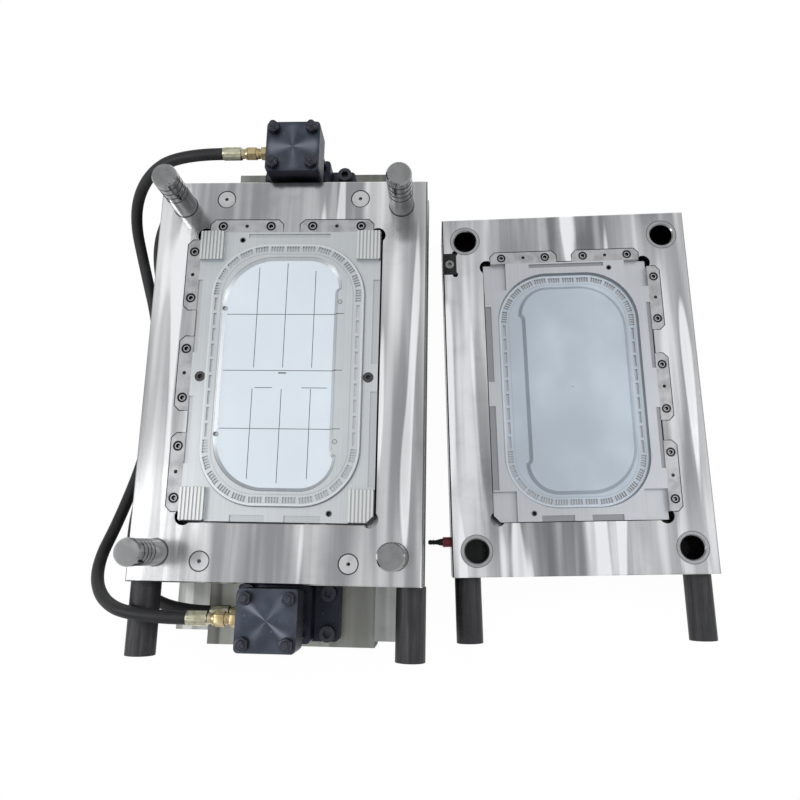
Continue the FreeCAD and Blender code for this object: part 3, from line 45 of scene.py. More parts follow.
FIXED = Matrix.Translation((0.4869, 0.0179, 0)) @ Matrix.Rotation(FIXED_TURN, 4, "Z")
CYLINDER_Y = 0.380
CAP_TOP = 0.303
CAP_PORT, HEAD_PORT = 0.280, 0.163
TIE_OFF = 0.03175
PORTS = [(y, z) for y in (-CYLINDER_Y, CYLINDER_Y) for z in (CAP_PORT, HEAD_PORT)]
TIES = [(x, y + middle) for middle in (-CYLINDER_Y, CYLINDER_Y)
        for x in (-TIE_OFF, TIE_OFF) for y in (-TIE_OFF, TIE_OFF)]
# Places along X and Y, the same in all four quarters
PILLAR, RETURN_PIN, LIFT_HOLE = (0.1826, 0.286), (0.1133, 0.298), (0.081, 0.224)
# Width, length and corner radius of the tray's outline and of the ring of slots in it
TRAY = (0.252, 0.430, 0.092)
SLOT_RING = (0.232, 0.410, 0.082)
# Corner locks: middle, half sides, height
LOCK, LOCK_HALF, LOCK_HEIGHT = (0.132, 0.214), (0.018, 0.024), 0.009
# Wedge blocks: middle, the axes that mirror them, half sides; and their screws' distance from that middle
WEDGES = [(0.0755, 0.249, "X", 0.061, 0.011), (0.161, 0.163, "Y", 0.011, 0.061), (0.161, -0.0044, "", 0.011, 0.061)]
WEDGE_SCREW_OFF = 0.0405
# Width of the painted shade in the gap round a piece that is let into another, and how softly it ends
GAP_SHADE, SOFT = 0.0008, 0.0003


# Camera

def set_camera():
    right = Vector((0.99869567, 0.01919409, -0.04731326))
    down = Vector((0.00870735, -0.97710155, -0.21259525))
    ahead = Vector((-0.05031043, 0.21190599, -0.97599422))
    camera = bpy.data.objects.new("camera", bpy.data.cameras.new("camera"))
    turn = Matrix((right, -down, -ahead)).transposed().to_4x4()
    camera.matrix_world = Matrix.Translation((0.2420, -0.2815, 1.3596)) @ turn
    camera.data.lens = 31.94
    camera.data.sensor_width = 36
    camera.data.clip_end = 60
    bpy.context.collection.objects.link(camera)
    bpy.context.scene.camera = camera


set_camera()


# Finishes

def tone(red, green, blue):
    """A colour as it looks on the screen, from 0 to 255."""
    return [((level / 255 + 0.055) / 1.055) ** 2.4 for level in (red, green, blue)] + [1]


class Wire:
    """A value in a material. Sums written with it become nodes."""

    def __init__(self, finish, socket):
        self.finish, self.socket = finish, socket

    def __add__(self, other):
        return self.finish.sum("ADD", self, other)

    def __sub__(self, other):
        return self.finish.sum("SUBTRACT", self, other)

    def __rsub__(self, other):
        return self.finish.sum("SUBTRACT", other, self)

    def __mul__(self, other):
        return self.finish.sum("MULTIPLY", self, other)

    def __pow__(self, other):
        return self.finish.sum("POWER", self, other)

    __radd__, __rmul__ = __add__, __mul__


class Finish:
    """One material. Its patterns lie in the space of the half that it is on, in metres."""

    def __init__(self, name, fixed=False, **plain):
        self.fixed = fixed
        self.material = bpy.data.materials.new(name)
        self.material.use_nodes = True
        self.tree = self.material.node_tree
        self.shader = self.tree.nodes["Principled BSDF"]
        for name_of, value in plain.items():
            self.shader.inputs[name_of.replace("_", " ").title().replace("Ior", "IOR")].default_value = value

    def node(self, kind, settings=None, inputs=None, output=0):
        made = self.tree.nodes.new("ShaderNode" + kind)
        for key, value in (settings or {}).items():
            if key == "stops":
                while len(made.color_ramp.elements) < len(value):
                    made.color_ramp.elements.new(0.5)
                for stop, (place, colour) in zip(made.color_ramp.elements, value):
                    stop.position, stop.color = place, colour
            else:
                setattr(made, key, value)
        for key, value in (inputs or {}).items():
            self.feed(made.inputs[key], value)
        return Wire(self, made.outputs[output])

    def feed(self, socket, value):
        if isinstance(value, Wire):
            self.tree.links.new(value.socket, socket)
        else:
            socket.default_value = value

    def sum(self, operation, first, second=0):
        return self.node("Math", {"operation": operation}, {0: first, 1: second})

    def spot(self):
        place = self.node("TexCoord", output="Object")
        if self.fixed:
            place = self.node("Mapping", {"vector_type": "TEXTURE"},
                              {"Vector": place, "Location": FIXED.translation, "Rotation": (0, 0, FIXED_TURN)})
        return place

    def noise(self, size, detail=2, roughness=0.5, warp=0, turn=0):
        """Cloudy noise whose grains have a size in metres along X, Y and Z."""
        place = self.spot()
        if turn:
            place = self.node("Mapping", inputs={"Vector": place, "Rotation": (0, 0, turn)})
        scaled = self.node("Mapping", inputs={"Vector": place, "Scale": [1 / length for length in size]})
        return self.node("TexNoise", inputs={"Vector": scaled, "Scale": 1, "Detail": detail, "Roughness": roughness,
                                             "Distortion": warp})

    def axis(self, letter):
        return self.node("SeparateXYZ", inputs={"Vector": self.spot()}, output=letter)

    def reach(self, x, y, both="XY"):
        """How far a place lies from an upright line along X and Y. The line is mirrored on the axes in both."""
        return [(self.sum("ABSOLUTE", self.axis(letter)) if letter in both else self.axis(letter)) - middle
                for letter, middle in (("X", x), ("Y", y))]

    def off(self, x, y, both="XY", pair=(0, 0)):
        """Distance from that line, or from a pair of lines that lie evenly on both sides of it."""
        across, along = [self.sum("ABSOLUTE", far) - half if half else far
                         for far, half in zip(self.reach(x, y, both), pair)]
        return (across * across + along * along) ** 0.5

    def off_block(self, x, y, both, half_x, half_y, cut=0.008):
        """Distance from the outline of a block with cut corners, below nought inside it."""
        across, along = [self.sum("ABSOLUTE", far) for far in self.reach(x, y, both)]
        corner = (across + along - (half_x + half_y - cut)) * 0.707
        return self.sum("MAXIMUM", self.sum("MAXIMUM", across - half_x, along - half_y), corner)

    def off_wedge_screws(self, side):
        """Distances from the screws of the wedge blocks, which lie on one side of the mould."""
        for x, y, both, _, _ in WEDGES:
            pair = (WEDGE_SCREW_OFF, 0) if both == "X" else (0, WEDGE_SCREW_OFF)
            yield self.off(x if both == "X" else x * side, y, both, pair)

    def heading(self, letter):
        """How squarely a face looks along an axis."""
        normal = self.node("NewGeometry", output="Normal")
        return self.node("SeparateXYZ", inputs={"Vector": normal}, output=letter)

    def facing(self, letter):
        """The same for both ways along the axis."""
        return self.sum("ABSOLUTE", self.heading(letter))

    def inset(self, width, length, radius):
        """Distance from a rounded rectangle about the origin, below nought inside it."""
        x = self.sum("ABSOLUTE", self.axis("X")) - (width / 2 - radius)
        y = self.sum("ABSOLUTE", self.axis("Y")) - (length / 2 - radius)
        over_x, over_y = self.sum("MAXIMUM", x), self.sum("MAXIMUM", y)
        within = self.sum("MINIMUM", self.sum("MAXIMUM", x, y))
        return (over_x * over_x + over_y * over_y) ** 0.5 + within - radius

    def strip(self, value, low, high, soft):
        """One between low and high, nought outside."""
        return self.ramp(value, low - soft, low) * (1 - self.ramp(value, high, high + soft))

    def ramp(self, value, low, high):
        """Nought below low, one above high."""
        return self.node("MapRange", {"interpolation_type": "SMOOTHSTEP"},
                         {"Value": value, "From Min": low, "From Max": high})

    def mix(self, part, first, second):
        return self.node("Mix", {"data_type": "RGBA"}, {0: part, 6: first, 7: second}, output=2)

    def bump(self, height, strength, distance):
        return self.node("Bump", inputs={"Height": height, "Strength": strength, "Distance": distance})

    def wear(self, colour=None, roughness=None, normal=None, metallic=None):
        for socket, value in (("Base Color", colour), ("Roughness", roughness), ("Normal", normal),
                              ("Metallic", metallic)):
            if value is not None:
                self.feed(self.shader.inputs[socket], value)
        return self.material


def ground_steel(name, light, dark, shine, fixed=False, shaded_gaps=(), holes=(), wedge_side=0):
    """Surface-ground plate: fine lines, painted highlight bands and glints along Y, oily patches, small scratches,
    painted shade on the side faces and deeper painted shade on those that look along +X, and painted shade in the gap
    round each part that is let into it, round the wedge blocks and inside holes."""
    steel = Finish(name, fixed, metallic=1.0)
    line = steel.noise((0.0011, 0.6, 0.6), detail=3)
    wide_highlight = steel.ramp(steel.noise((0.075, 0.70, 0.3), detail=1, warp=0.2), 0.36, 0.66)
    narrow_highlight = steel.ramp(steel.noise((0.020, 0.36, 0.3), detail=1), 0.40, 0.72)
    glint = steel.ramp(steel.noise((0.024, 0.34, 0.3), detail=0), 0.62, 0.71)
    patch = steel.ramp(steel.noise((0.11, 0.09, 0.09), detail=5, roughness=0.6), 0.50, 0.72)
    scratch = steel.ramp(steel.noise((0.0012, 0.05, 0.05), detail=2, turn=0.5), 0.73, 0.80)
    # Painted highlights: the bands and glints along Y stand in for lamp streaks. They run from the dark tone up to the
    # light tone, which is the highlight colour. The fine lines and oily patches are the steel's own.
    grind_lines_and_highlights = wide_highlight * 0.38 + narrow_highlight * 0.28 + line * 0.14 + glint * 0.55 - patch * 0.08 + 0.02
    colour = steel.mix(steel.ramp(grind_lines_and_highlights, 0.02, 1.0), dark, light)
    colour = steel.mix(scratch * 0.4, colour, tone(225, 226, 226))
    # Painted shade on the faces that look along X.
    side = steel.facing("X")
    colour = steel.mix(side * 0.85, colour, tone(62, 63, 63))
    # Deeper painted shade, nearly black, on the faces that look along +X.
    right = steel.ramp(steel.heading("X"), 0.6, 0.9)
    colour = steel.mix(right * 0.9, colour, tone(30, 31, 32))
    # Painted shade in the gap round each part that is let into the plate.
    for x, y, radius in shaded_gaps:
        gap_shade = steel.strip(steel.off(x, y), radius, radius + GAP_SHADE, SOFT)
        colour = steel.mix(gap_shade * 0.85, colour, tone(46, 46, 48))
    # Painted shade in the gap round each wedge block.
    for x, y, both, half_x, half_y in WEDGES if wedge_side else ():
        gap = steel.off_block(x if both == "X" else x * wedge_side, y, both, half_x, half_y)
        colour = steel.mix(steel.strip(gap, 0.0003, 0.0013, SOFT) * 0.85, colour, tone(40, 40, 42))
    # Painted shade inside each hole.
    for x, y, radius in holes:
        colour = steel.mix((1 - steel.ramp(steel.off(x, y), radius, radius + 0.0005)) * 0.9, colour, tone(24, 24, 25))
    rough = shine + line * 0.10 + patch * 0.10 - glint * 0.04 + side * 0.15
    return steel.wear(colour, rough, steel.bump(line * 0.6 + scratch * 0.3, 0.12, 0.0004))


def milled_steel(name, land, floor, low, high, dark, fixed=False, shaded_steps=(), recess=None, outline=None, dots=(),
                 dim=0.84, lock=None):
    """Finely milled insert, with cutter paths: a greyer land, a pale cloudy floor between the heights low and high,
    painted shade in the slots below the height dark, painted shade lines on the step walls at the heights given for
    them, greyer edge recesses, a painted shade line along the tray's outline with a painted highlight band on the rim
    just inside it and a fainter grey line further in, painted shade rings round dots, and corner locks with painted
    highlights on their crests, painted shade on their flanks and a painted shadow beside them."""
    steel = Finish(name, fixed, metallic=1.0)
    height = steel.axis("Z")
    inside = steel.ramp(height, low, low + 0.0002) * (1 - steel.ramp(height, high - 0.0002, high))
    grain = steel.noise((0.0009, 0.0009, 0.0009), detail=3)
    cloud = steel.ramp(steel.noise((0.16, 0.20, 0.1), detail=3), 0.35, 0.7)
    path = steel.noise((0.0016, 0.3, 0.1), detail=2)
    slot = 1 - steel.ramp(height, dark - 0.0015, dark)
    colour = steel.mix(inside, steel.mix(path * 0.6 + cloud * 0.3, [part * 0.74 for part in land[:3]] + [1], land),
                       steel.mix(cloud * 0.8 + grain * 0.2, [part * dim for part in floor[:3]] + [1], floor))
    # Painted shade in the slots, below the height dark.
    colour = steel.mix(slot * 0.25, colour, tone(150, 154, 158))
    if recess:
        level = steel.strip(height, recess - 0.0002, recess + 0.0002, 0.0001)
        colour = steel.mix(level * 0.8, colour, tone(134, 136, 140))
    # Painted shade lines on the step walls at the given heights.
    for cut in shaded_steps:
        level = steel.strip(height, cut - 0.00005, cut + 0.0002, 0.00005)
        colour = steel.mix(level * 0.75, colour, tone(74, 78, 82))
    if outline:
        foot = steel.inset(*outline)
        # A painted shade line along the tray's outline, a painted highlight band on the rim just inside it, and a
        # fainter grey line further in.
        colour = steel.mix(steel.strip(foot, -0.0004, 0.0009, 0.0005) * 0.6, colour, tone(112, 115, 120))
        colour = steel.mix(steel.strip(foot, -0.0038, -0.0020, 0.0008) * 0.4, colour, tone(236, 240, 244))
        colour = steel.mix(steel.strip(foot, -0.0190, -0.0180, 0.0005) * 0.35, colour, tone(140, 144, 149))
    if lock:
        # Painted highlights on the crests of the corner locks, painted shade on their flanks and a painted shadow
        # beside them.
        crest = steel.ramp(height, lock - 0.0008, lock - 0.0003)
        proud = steel.ramp(height, lock - 0.0016, lock - 0.0014)
        colour = steel.mix(crest * 0.5, colour, tone(232, 233, 228))
        colour = steel.mix(proud * (1 - crest) * 0.5, colour, tone(150, 152, 150))
        beside = steel.strip(steel.off_block(*LOCK, "XY", *LOCK_HALF, 0.001), 0.0004, 0.0030, 0.0006)
        colour = steel.mix(beside * (1 - proud) * 0.55, colour, tone(92, 95, 99))
    # Painted shade rings round the dots.
    for x, y, both, inner, outer in dots:
        ring = steel.strip(steel.off(x, y, both), inner, outer, 0.0004)
        colour = steel.mix(ring * 0.75, colour, tone(58, 60, 64))
    rough = 0.36 + inside * 0.16 + grain * 0.10 + cloud * 0.05
    return steel.wear(colour, rough, steel.bump(path * 0.5 + grain * 0.5, 0.10, 0.0003), 1 - inside * 0.35)


def wedge_block_steel(name, side, fixed):
    """Ground wedge blocks with painted shade in the counterbore round each of their screws."""
    steel = Finish(name, fixed, metallic=1.0)
    line = steel.noise((0.0012, 0.3, 0.3), detail=3)
    cloud = steel.ramp(steel.noise((0.02, 0.02, 0.02), detail=4), 0.35, 0.7)
    colour = steel.mix(line * 0.4 + cloud * 0.5, tone(196, 196, 198), tone(142, 142, 145))
    # Painted shade in the counterbore round each screw.
    for ring in steel.off_wedge_screws(side):
        colour = steel.mix(steel.strip(ring, 0.0062, 0.0080, 0.0004) * 0.85, colour, tone(40, 40, 42))
    return steel.wear(colour, 0.34 + cloud * 0.1, steel.bump(line, 0.10, 0.0003))


def socket_screw_steel(name, side, fixed):
    """Heads of the wedge blocks' screws: painted light on the floor of the socket, painted shade in the socket round
    it, a paler rim, and painted shade in the counterbore at the edge.
    """
    steel = Finish(name, fixed, metallic=1.0)
    ring, *others = steel.off_wedge_screws(side)
    for other in others:
        ring = steel.sum("MINIMUM", ring, other)
    # Painted shade in the socket and in the counterbore, on either side of the paler rim of the head.
    colour = steel.mix(steel.strip(ring, 0.0038, 0.0049, 0.0004), tone(40, 40, 43), tone(168, 168, 170))
    # Painted light on the floor of the socket.
    colour = steel.mix(1 - steel.ramp(ring, 0.0012, 0.0018), colour, tone(190, 190, 192))
    grain = steel.noise((0.0006, 0.0006, 0.0006), detail=2)
    return steel.wear(colour, 0.30 + grain * 0.15, steel.bump(grain, 0.12, 0.0002))


def turned_steel(name, colour, shine, band=0.006, mouth=None, drilled=None):
    """Ground or turned round steel, with faint rings across its axis and grey smears. It has painted shade below its
    mouth, down the bore, and in a hole drilled into each of four pins."""
    steel = Finish(name, metallic=1.0)
    ring = steel.noise((0.4, 0.4, 0.0006), detail=2)
    smear = steel.ramp(steel.noise((0.02, 0.02, band * 4), detail=3), 0.4, 0.7)
    shade = steel.mix(smear * 0.5 + ring * 0.25, colour, [part * 0.62 for part in colour[:3]] + [1])
    if mouth:
        # Painted shade below the mouth, down the bore.
        shade = steel.mix(1 - steel.ramp(steel.axis("Z"), mouth - 0.001, mouth), shade, tone(26, 26, 27))
    if drilled:
        x, y, radius = drilled
        # Painted shade in the drilled hole.
        shade = steel.mix(1 - steel.ramp(steel.off(x, y), radius, radius + 0.0004), shade, tone(30, 30, 31))
    return steel.wear(shade, shine + ring * 0.08 + smear * 0.12, steel.bump(ring, 0.10, 0.0002))


def dark_turned(name):
    """Blackened caps and heads of the cylinders, faced on a lathe: rings round each middle, a painted highlight fanning
    out from it and a fainter one across, painted shade on the upright faces and darker heads below."""
    steel = Finish(name, metallic=1.0)
    x, y = steel.axis("X"), steel.axis("Y")
    along = steel.sum("ABSOLUTE", y) - CYLINDER_Y
    radius = (x * x + along * along) ** 0.5
    ring = steel.node("TexNoise", {"noise_dimensions": "1D"}, {"W": radius, "Scale": 1500, "Detail": 2})
    cloud = steel.ramp(steel.noise((0.03, 0.03, 0.03), detail=4), 0.35, 0.75)
    upper = steel.ramp(y, -0.01, 0.01)
    # Painted highlights: a thin fanning highlight from each middle and a fainter one across it.
    lean = steel.sum("ARCTAN2", along, x) - (0.66 - upper * 0.60)
    fan_highlight = steel.sum("ABSOLUTE", steel.sum("COSINE", lean)) ** (90 - upper * 74)
    across = steel.sum("ABSOLUTE", steel.sum("SINE", lean)) ** 40
    upright = 1 - steel.facing("Z")
    colour = steel.mix(ring * 0.4 + cloud * 0.6, tone(58, 62, 72), tone(88, 94, 106))
    faced = 1 - steel.ramp(radius, 0.036, 0.046)
    colour = steel.mix((fan_highlight * 0.6 + across * 0.25) * faced, colour, tone(146, 151, 164))
    below = 1 - steel.ramp(steel.axis("Z"), CAP_TOP - 0.10, CAP_TOP - 0.08)
    # Painted shade on the upright faces; the heads are also darker lower down.
    colour = steel.mix(steel.sum("MAXIMUM", upright * 0.6, below * 0.45), colour, tone(30, 33, 40))
    edge = steel.ramp(steel.noise((0.006, 0.006, 0.006), detail=3), 0.66, 0.74)
    colour = steel.mix(edge * 0.3, colour, tone(140, 142, 148))
    return steel.wear(colour, 0.34 + ring * 0.16 + cloud * 0.08, steel.bump(ring, 0.16, 0.0003))


def plated(name, colour, deep):
    """Zinc plating or bronze with soft clouds of a deeper colour."""
    zinc = Finish(name, metallic=1.0)
    cloud = zinc.ramp(zinc.noise((0.008, 0.008, 0.008), detail=4), 0.35, 0.7)
    grain = zinc.noise((0.0008, 0.0008, 0.0008), detail=2)
    return zinc.wear(zinc.mix(cloud * 0.7 + grain * 0.2, colour, deep), 0.24 + cloud * 0.16 + grain * 0.06,
                     zinc.bump(grain, 0.08, 0.0002))


def black_steel(name, light, dark):
    """Black oxide bar stock with rubbed grey streaks."""
    bar = Finish(name, metallic=0.6)
    streak = bar.ramp(bar.noise((0.004, 0.09, 0.004), detail=4), 0.45, 0.8)
    cloud = bar.noise((0.03, 0.03, 0.03), detail=4)
    speck = bar.ramp(bar.noise((0.002, 0.002, 0.002), detail=2), 0.66, 0.74)
    colour = bar.mix(streak * 0.5 + cloud * 0.35, dark, light)
    colour = bar.mix(speck * 0.3, colour, tone(130, 130, 130))
    return bar.wear(colour, 0.38 + cloud * 0.2, bar.bump(streak * 0.4 + cloud * 0.6, 0.18, 0.0006))


def rubber(name):
    """Smooth black rubber with dust on it."""
    hose = Finish(name, specular_ior_level=0.35)
    dust = hose.ramp(hose.noise((0.03, 0.05, 0.03), detail=5, roughness=0.6), 0.45, 0.8)
    grain = hose.noise((0.0012, 0.0012, 0.0012), detail=2)
    return hose.wear(hose.mix(dust * 0.5, tone(26, 26, 28), tone(58, 58, 60)), 0.46 + dust * 0.22 + grain * 0.08,
                     hose.bump(grain * 0.6 + dust * 0.4, 0.20, 0.0004))


def plain_screw(name, light, dark):
    """Oiled steel of screws and nuts."""
    screw = Finish(name, metallic=1.0)
    cloud = screw.noise((0.004, 0.004, 0.004), detail=4)
    grain = screw.noise((0.0006, 0.0006, 0.0006), detail=2)
    return screw.wear(screw.mix(cloud, dark, light), 0.30 + cloud * 0.2, screw.bump(grain, 0.12, 0.0002))


# The hoses, from the lower cylinder round the side of the mould to the upper one

ROUTES = {
    "cap_side_hose": [(-0.123, -0.380, 0.280), (-0.206, -0.380, 0.280), (-0.278, -0.360, 0.237), (-0.318, -0.310, 0.177),
                      (-0.312, -0.230, 0.117), (-0.285, -0.110, 0.095), (-0.275, 0.010, 0.092), (-0.285, 0.130, 0.095),
                      (-0.312, 0.240, 0.120), (-0.318, 0.320, 0.175), (-0.275, 0.366, 0.235), (-0.200, 0.380, 0.280),
                      (-0.123, 0.380, 0.280)],
    "rod_side_hose": [(-0.123, -0.380, 0.163), (-0.192, -0.380, 0.163), (-0.268, -0.340, 0.134), (-0.299, -0.260, 0.093),
                      (-0.298, -0.166, 0.065), (-0.276, -0.070, 0.053), (-0.262, 0.028, 0.049), (-0.271, 0.124, 0.053),
                      (-0.296, 0.210, 0.068), (-0.302, 0.296, 0.099), (-0.262, 0.354, 0.139), (-0.192, 0.380, 0.163),
                      (-0.123, 0.380, 0.163)],
}
HOSE_THICKNESS = 0.020
rubber_hose = rubber("hose_rubber")


def lay_hose(node, points):
    curve = bpy.data.curves.new(node + "_run", "CURVE")
    curve.dimensions = "3D"
    spline = curve.splines.new("NURBS")
    spline.points.add(len(points) - 1)
    for point, place in zip(spline.points, points):
        point.co = (*place, 1)
    spline.order_u = 3
    spline.use_endpoint_u = True
    curve.resolution_u = 12
    curve.bevel_depth = HOSE_THICKNESS / 2
    curve.bevel_resolution = 6
    curve.use_fill_caps = True
    curve.materials.append(rubber_hose)
    hose = bpy.data.objects.new(node + "_run", curve)
    bpy.context.collection.objects.link(hose)
    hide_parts(node)
    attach(hose, "ejector_set")


for node, points in ROUTES.items():
    lay_hose(node, points)


# Pieces made here

def piece(name, shape, material, body, replaced=(), smooth=35):
    mesh = bpy.data.meshes.new(name)
    shape.to_mesh(mesh)
    shape.free()
    mesh.materials.append(material)
    for face in mesh.polygons:
        face.use_smooth = True
    made = bpy.data.objects.new(name, mesh)
    bpy.context.collection.objects.link(made)
    mesh.set_sharp_from_angle(angle=math.radians(smooth))
    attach(made, body)
    if replaced:
        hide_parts(*replaced)
    return made


def seat(shape, made, place):
    """Moves what was just made to its place and adds it to the piece."""
    bmesh.ops.transform(made, matrix=place, verts=made.verts)
    carrier = bpy.data.meshes.new("carrier")
    made.to_mesh(carrier)
    made.free()
    shape.from_mesh(carrier)
    bpy.data.meshes.remove(carrier)


def lathe(shape, outline, place, steps=40, groove=0):
    """Turns a profile of (radius, height) points about Z and sets it in place. Grooves run along every sixth line of
    the part's widest stretch."""
    made = bmesh.new()
    ring = [made.verts.new((radius, 0, height)) for radius, height in outline]
    edges = [made.edges.new(pair) for pair in zip(ring, ring[1:])]
    bmesh.ops.spin(made, geom=ring + edges, cent=(0, 0, 0), axis=(0, 0, 1), angle=math.tau, steps=steps, use_merge=True)
    bmesh.ops.remove_doubles(made, verts=made.verts, dist=1e-7)
    for vert in made.verts:
        turn = math.atan2(vert.co.y, vert.co.x) / math.tau * steps
        if groove and vert.co.xy.length > 0.0107 and round(turn) % 6 == 0:
            vert.co.xy *= 1 - groove / vert.co.xy.length
    seat(shape, made, place)


def hex_bar(shape, corner, length, place, broken):
    """A hexagon that stands on Z, with its edges broken at both ends."""
    made = bmesh.new()
    bmesh.ops.create_circle(made, cap_ends=True, segments=6, radius=corner)
    raised = bmesh.ops.extrude_face_region(made, geom=list(made.faces))["geom"]
    bmesh.ops.translate(made, verts=[item for item in raised if isinstance(item, bmesh.types.BMVert)],
                        vec=(0, 0, length))
    ends = [edge for edge in made.edges if abs(edge.verts[0].co.z - edge.verts[1].co.z) < 1e-6]
    bmesh.ops.bevel(made, geom=ends, offset=broken, segments=2, profile=0.5, affect="EDGES", material=-1)
    seat(shape, made, place)


def sideways(x, y, z):
    """Turns +Z to -X, the way the fittings point, and moves it there."""
    return Matrix.Translation((x, y, z)) @ Matrix.Rotation(math.radians(-90), 4, "Y")


def finish_shape(shape):
    """Turns all faces outward."""
    bmesh.ops.recalc_face_normals(shape, faces=shape.faces)
    return shape


yellow = plated("yellow_zinc", tone(204, 188, 148), tone(160, 138, 98))
pale = plated("pale_zinc", tone(206, 204, 182), tone(164, 160, 130))

nuts = bmesh.new()
for y, z in PORTS:
    hex_bar(nuts, 0.0118, 0.015, sideways(-0.0655, y, z), 0.0014)
    lathe(nuts, [(0.0001, 0), (0.0084, 0), (0.0088, 0.0008), (0.0088, 0.0052), (0.0086, 0.006), (0.0001, 0.006)],
          sideways(-0.060, y, z))
    lathe(nuts, [(0.0001, 0), (0.0104, 0), (0.0098, 0.0030), (0.0080, 0.0052), (0.0080, 0.0075), (0.0001, 0.0075)],
          sideways(-0.0805, y, z))
piece("swivel_nut_bodies", finish_shape(nuts), yellow, "ejector_set", ["swivel_nuts"])

adapters = bmesh.new()
for y, z in PORTS:
    hex_bar(adapters, 0.0122, 0.0095, sideways(-0.0475, y, z), 0.0012)
    lathe(adapters, [(0.0001, 0), (0.0108, 0), (0.0108, 0.0025), (0.0001, 0.0025)], sideways(-0.045, y, z))
    lathe(adapters, [(0.0001, 0), (0.0080, 0), (0.0080, 0.0035), (0.0001, 0.0035)], sideways(-0.057, y, z))
piece("adapter_bodies", finish_shape(adapters), yellow, "ejector_set", ["port_adapters"])

# Crimped ferrule: eight grooves along the sleeve, and a step behind its collar
ferrules = bmesh.new()
for y, z in PORTS:
    outline = [(0.0001, 0), (0.0080, 0), (0.0084, 0.0010), (0.0084, 0.0026), (0.0098, 0.0034), (0.0109, 0.0046),
               (0.0109, 0.0310), (0.0108, 0.0335), (0.0104, 0.0350), (0.0001, 0.0350)]
    lathe(ferrules, outline, sideways(-0.088, y, z), 48, 0.0006)
piece("ferrule_sleeves", finish_shape(ferrules), pale, "ejector_set", ["hose_ferrules"])

dark_nut = plain_screw("dark_nut", tone(92, 94, 102), tone(34, 36, 42))
ties = bmesh.new()
for x, y in TIES:
    hex_bar(ties, 0.0105, 0.0092, Matrix.Translation((x, y, CAP_TOP + 0.0008)), 0.0011)
    lathe(ties, [(0.0062, 0), (0.0105, 0), (0.0105, 0.0009), (0.0062, 0.0009)], Matrix.Translation((x, y, CAP_TOP)))
piece("tie_nut_bodies", finish_shape(ties), dark_nut, "ejector_set",
      ["top_cylinder_tie_nuts", "bottom_cylinder_tie_nuts"])

threads = bmesh.new()
THREAD_PITCH, THREAD_ROOT, THREAD_CREST = 0.00135, 0.00602, 0.00655
for x, y in TIES:
    outline = [(0.0001, 0)]
    for foot in (i * THREAD_PITCH for i in range(5)):
        outline += [(THREAD_ROOT, foot), (THREAD_CREST, foot + 0.0006), (THREAD_ROOT, foot + 0.0012)]
    outline += [(0.0052, 0.0078), (0.0001, 0.0078)]
    lathe(threads, outline, Matrix.Translation((x, y, CAP_TOP + 0.0094)), 24)
piece("tie_rod_ends", finish_shape(threads), dark_nut, "ejector_set")

# Hose tail of the coolant fitting, with three barbs
tail = bmesh.new()
outline = [(0.0001, 0), (0.0062, 0), (0.0064, 0.0020), (0.0048, 0.0090), (0.0036, 0.0092)]
for start in (0.0098, 0.0150, 0.0202):
    outline += [(0.0045, start), (0.0045, start + 0.0008), (0.0034, start + 0.0048)]
outline += [(0.0030, 0.0260), (0.0001, 0.0260)]
lathe(tail, outline, FIXED @ sideways(-0.240, -0.269, 0.065))
black_fitting = black_steel("black_fitting", tone(70, 70, 74), tone(24, 24, 26))
piece("barbed_tail", finish_shape(tail), black_fitting, "fixed_half", ["coolant_nipple"])


# Fine ribs that split the slots of the ring, in both inserts

SLOTS = 44
RIB_PITCH = 0.0044
RIB = (0.0014, 0.0088, 0.0026)


def ring_point(distance, width, length, radius):
    """Where a walk round a rounded rectangle has got to, and which way it heads."""
    reach_x, reach_y = width / 2 - radius, length / 2 - radius
    for side, (x, y) in enumerate([(reach_x, reach_y), (-reach_x, reach_y), (-reach_x, -reach_y), (reach_x, -reach_y)]):
        run = 2 * (reach_x if side % 2 else reach_y)
        turn = side * math.pi / 2
        out, ahead = Vector((math.cos(turn), math.sin(turn), 0)), Vector((-math.sin(turn), math.cos(turn), 0))
        if distance < run:
            return Vector((x, y, 0)) + out * radius + ahead * (distance - run), turn + math.pi / 2
        distance -= run
        if distance < radius * math.pi / 2:
            turn += distance / radius
            return Vector((x, y, 0)) + Vector((math.cos(turn), math.sin(turn), 0)) * radius, turn + math.pi / 2
        distance -= radius * math.pi / 2


def slot_ribs(floor, place):
    """Four ribs in each slot at the round ends of the ring. The slots along its straight sides stay plain."""
    width, length, radius = SLOT_RING
    around = 2 * (width + length) - (8 - math.tau) * radius
    ribs = bmesh.new()
    for i in range(SLOTS):
        slot = (i + 0.5) * around / SLOTS
        if abs(ring_point(slot, *SLOT_RING)[0].y) < length / 2 - radius:
            continue
        for j in range(4):
            middle, heading = ring_point(slot + (j - 1.5) * RIB_PITCH, *SLOT_RING)
            middle.z = floor + RIB[2] / 2
            turned = place @ Matrix.Translation(middle) @ Matrix.Rotation(heading, 4, "Z")
            bmesh.ops.create_cube(ribs, size=1, matrix=turned @ Matrix.Diagonal((*RIB, 1)))
    return ribs


insert_rib = milled_steel("rib_steel", tone(206, 211, 215), tone(206, 211, 215), 0.0, 0.001, 0.0)
CORE_SLOT_FLOOR, CAVITY_SLOT_FLOOR = PARTING + 0.003, FIXED_FACE - 0.0115
piece("core_slot_ribs", slot_ribs(CORE_SLOT_FLOOR, Matrix()), insert_rib, "moving_half")
piece("cavity_slot_ribs", slot_ribs(CAVITY_SLOT_FLOOR, FIXED), insert_rib, "fixed_half")


# Finishes of the pieces that stay as they are

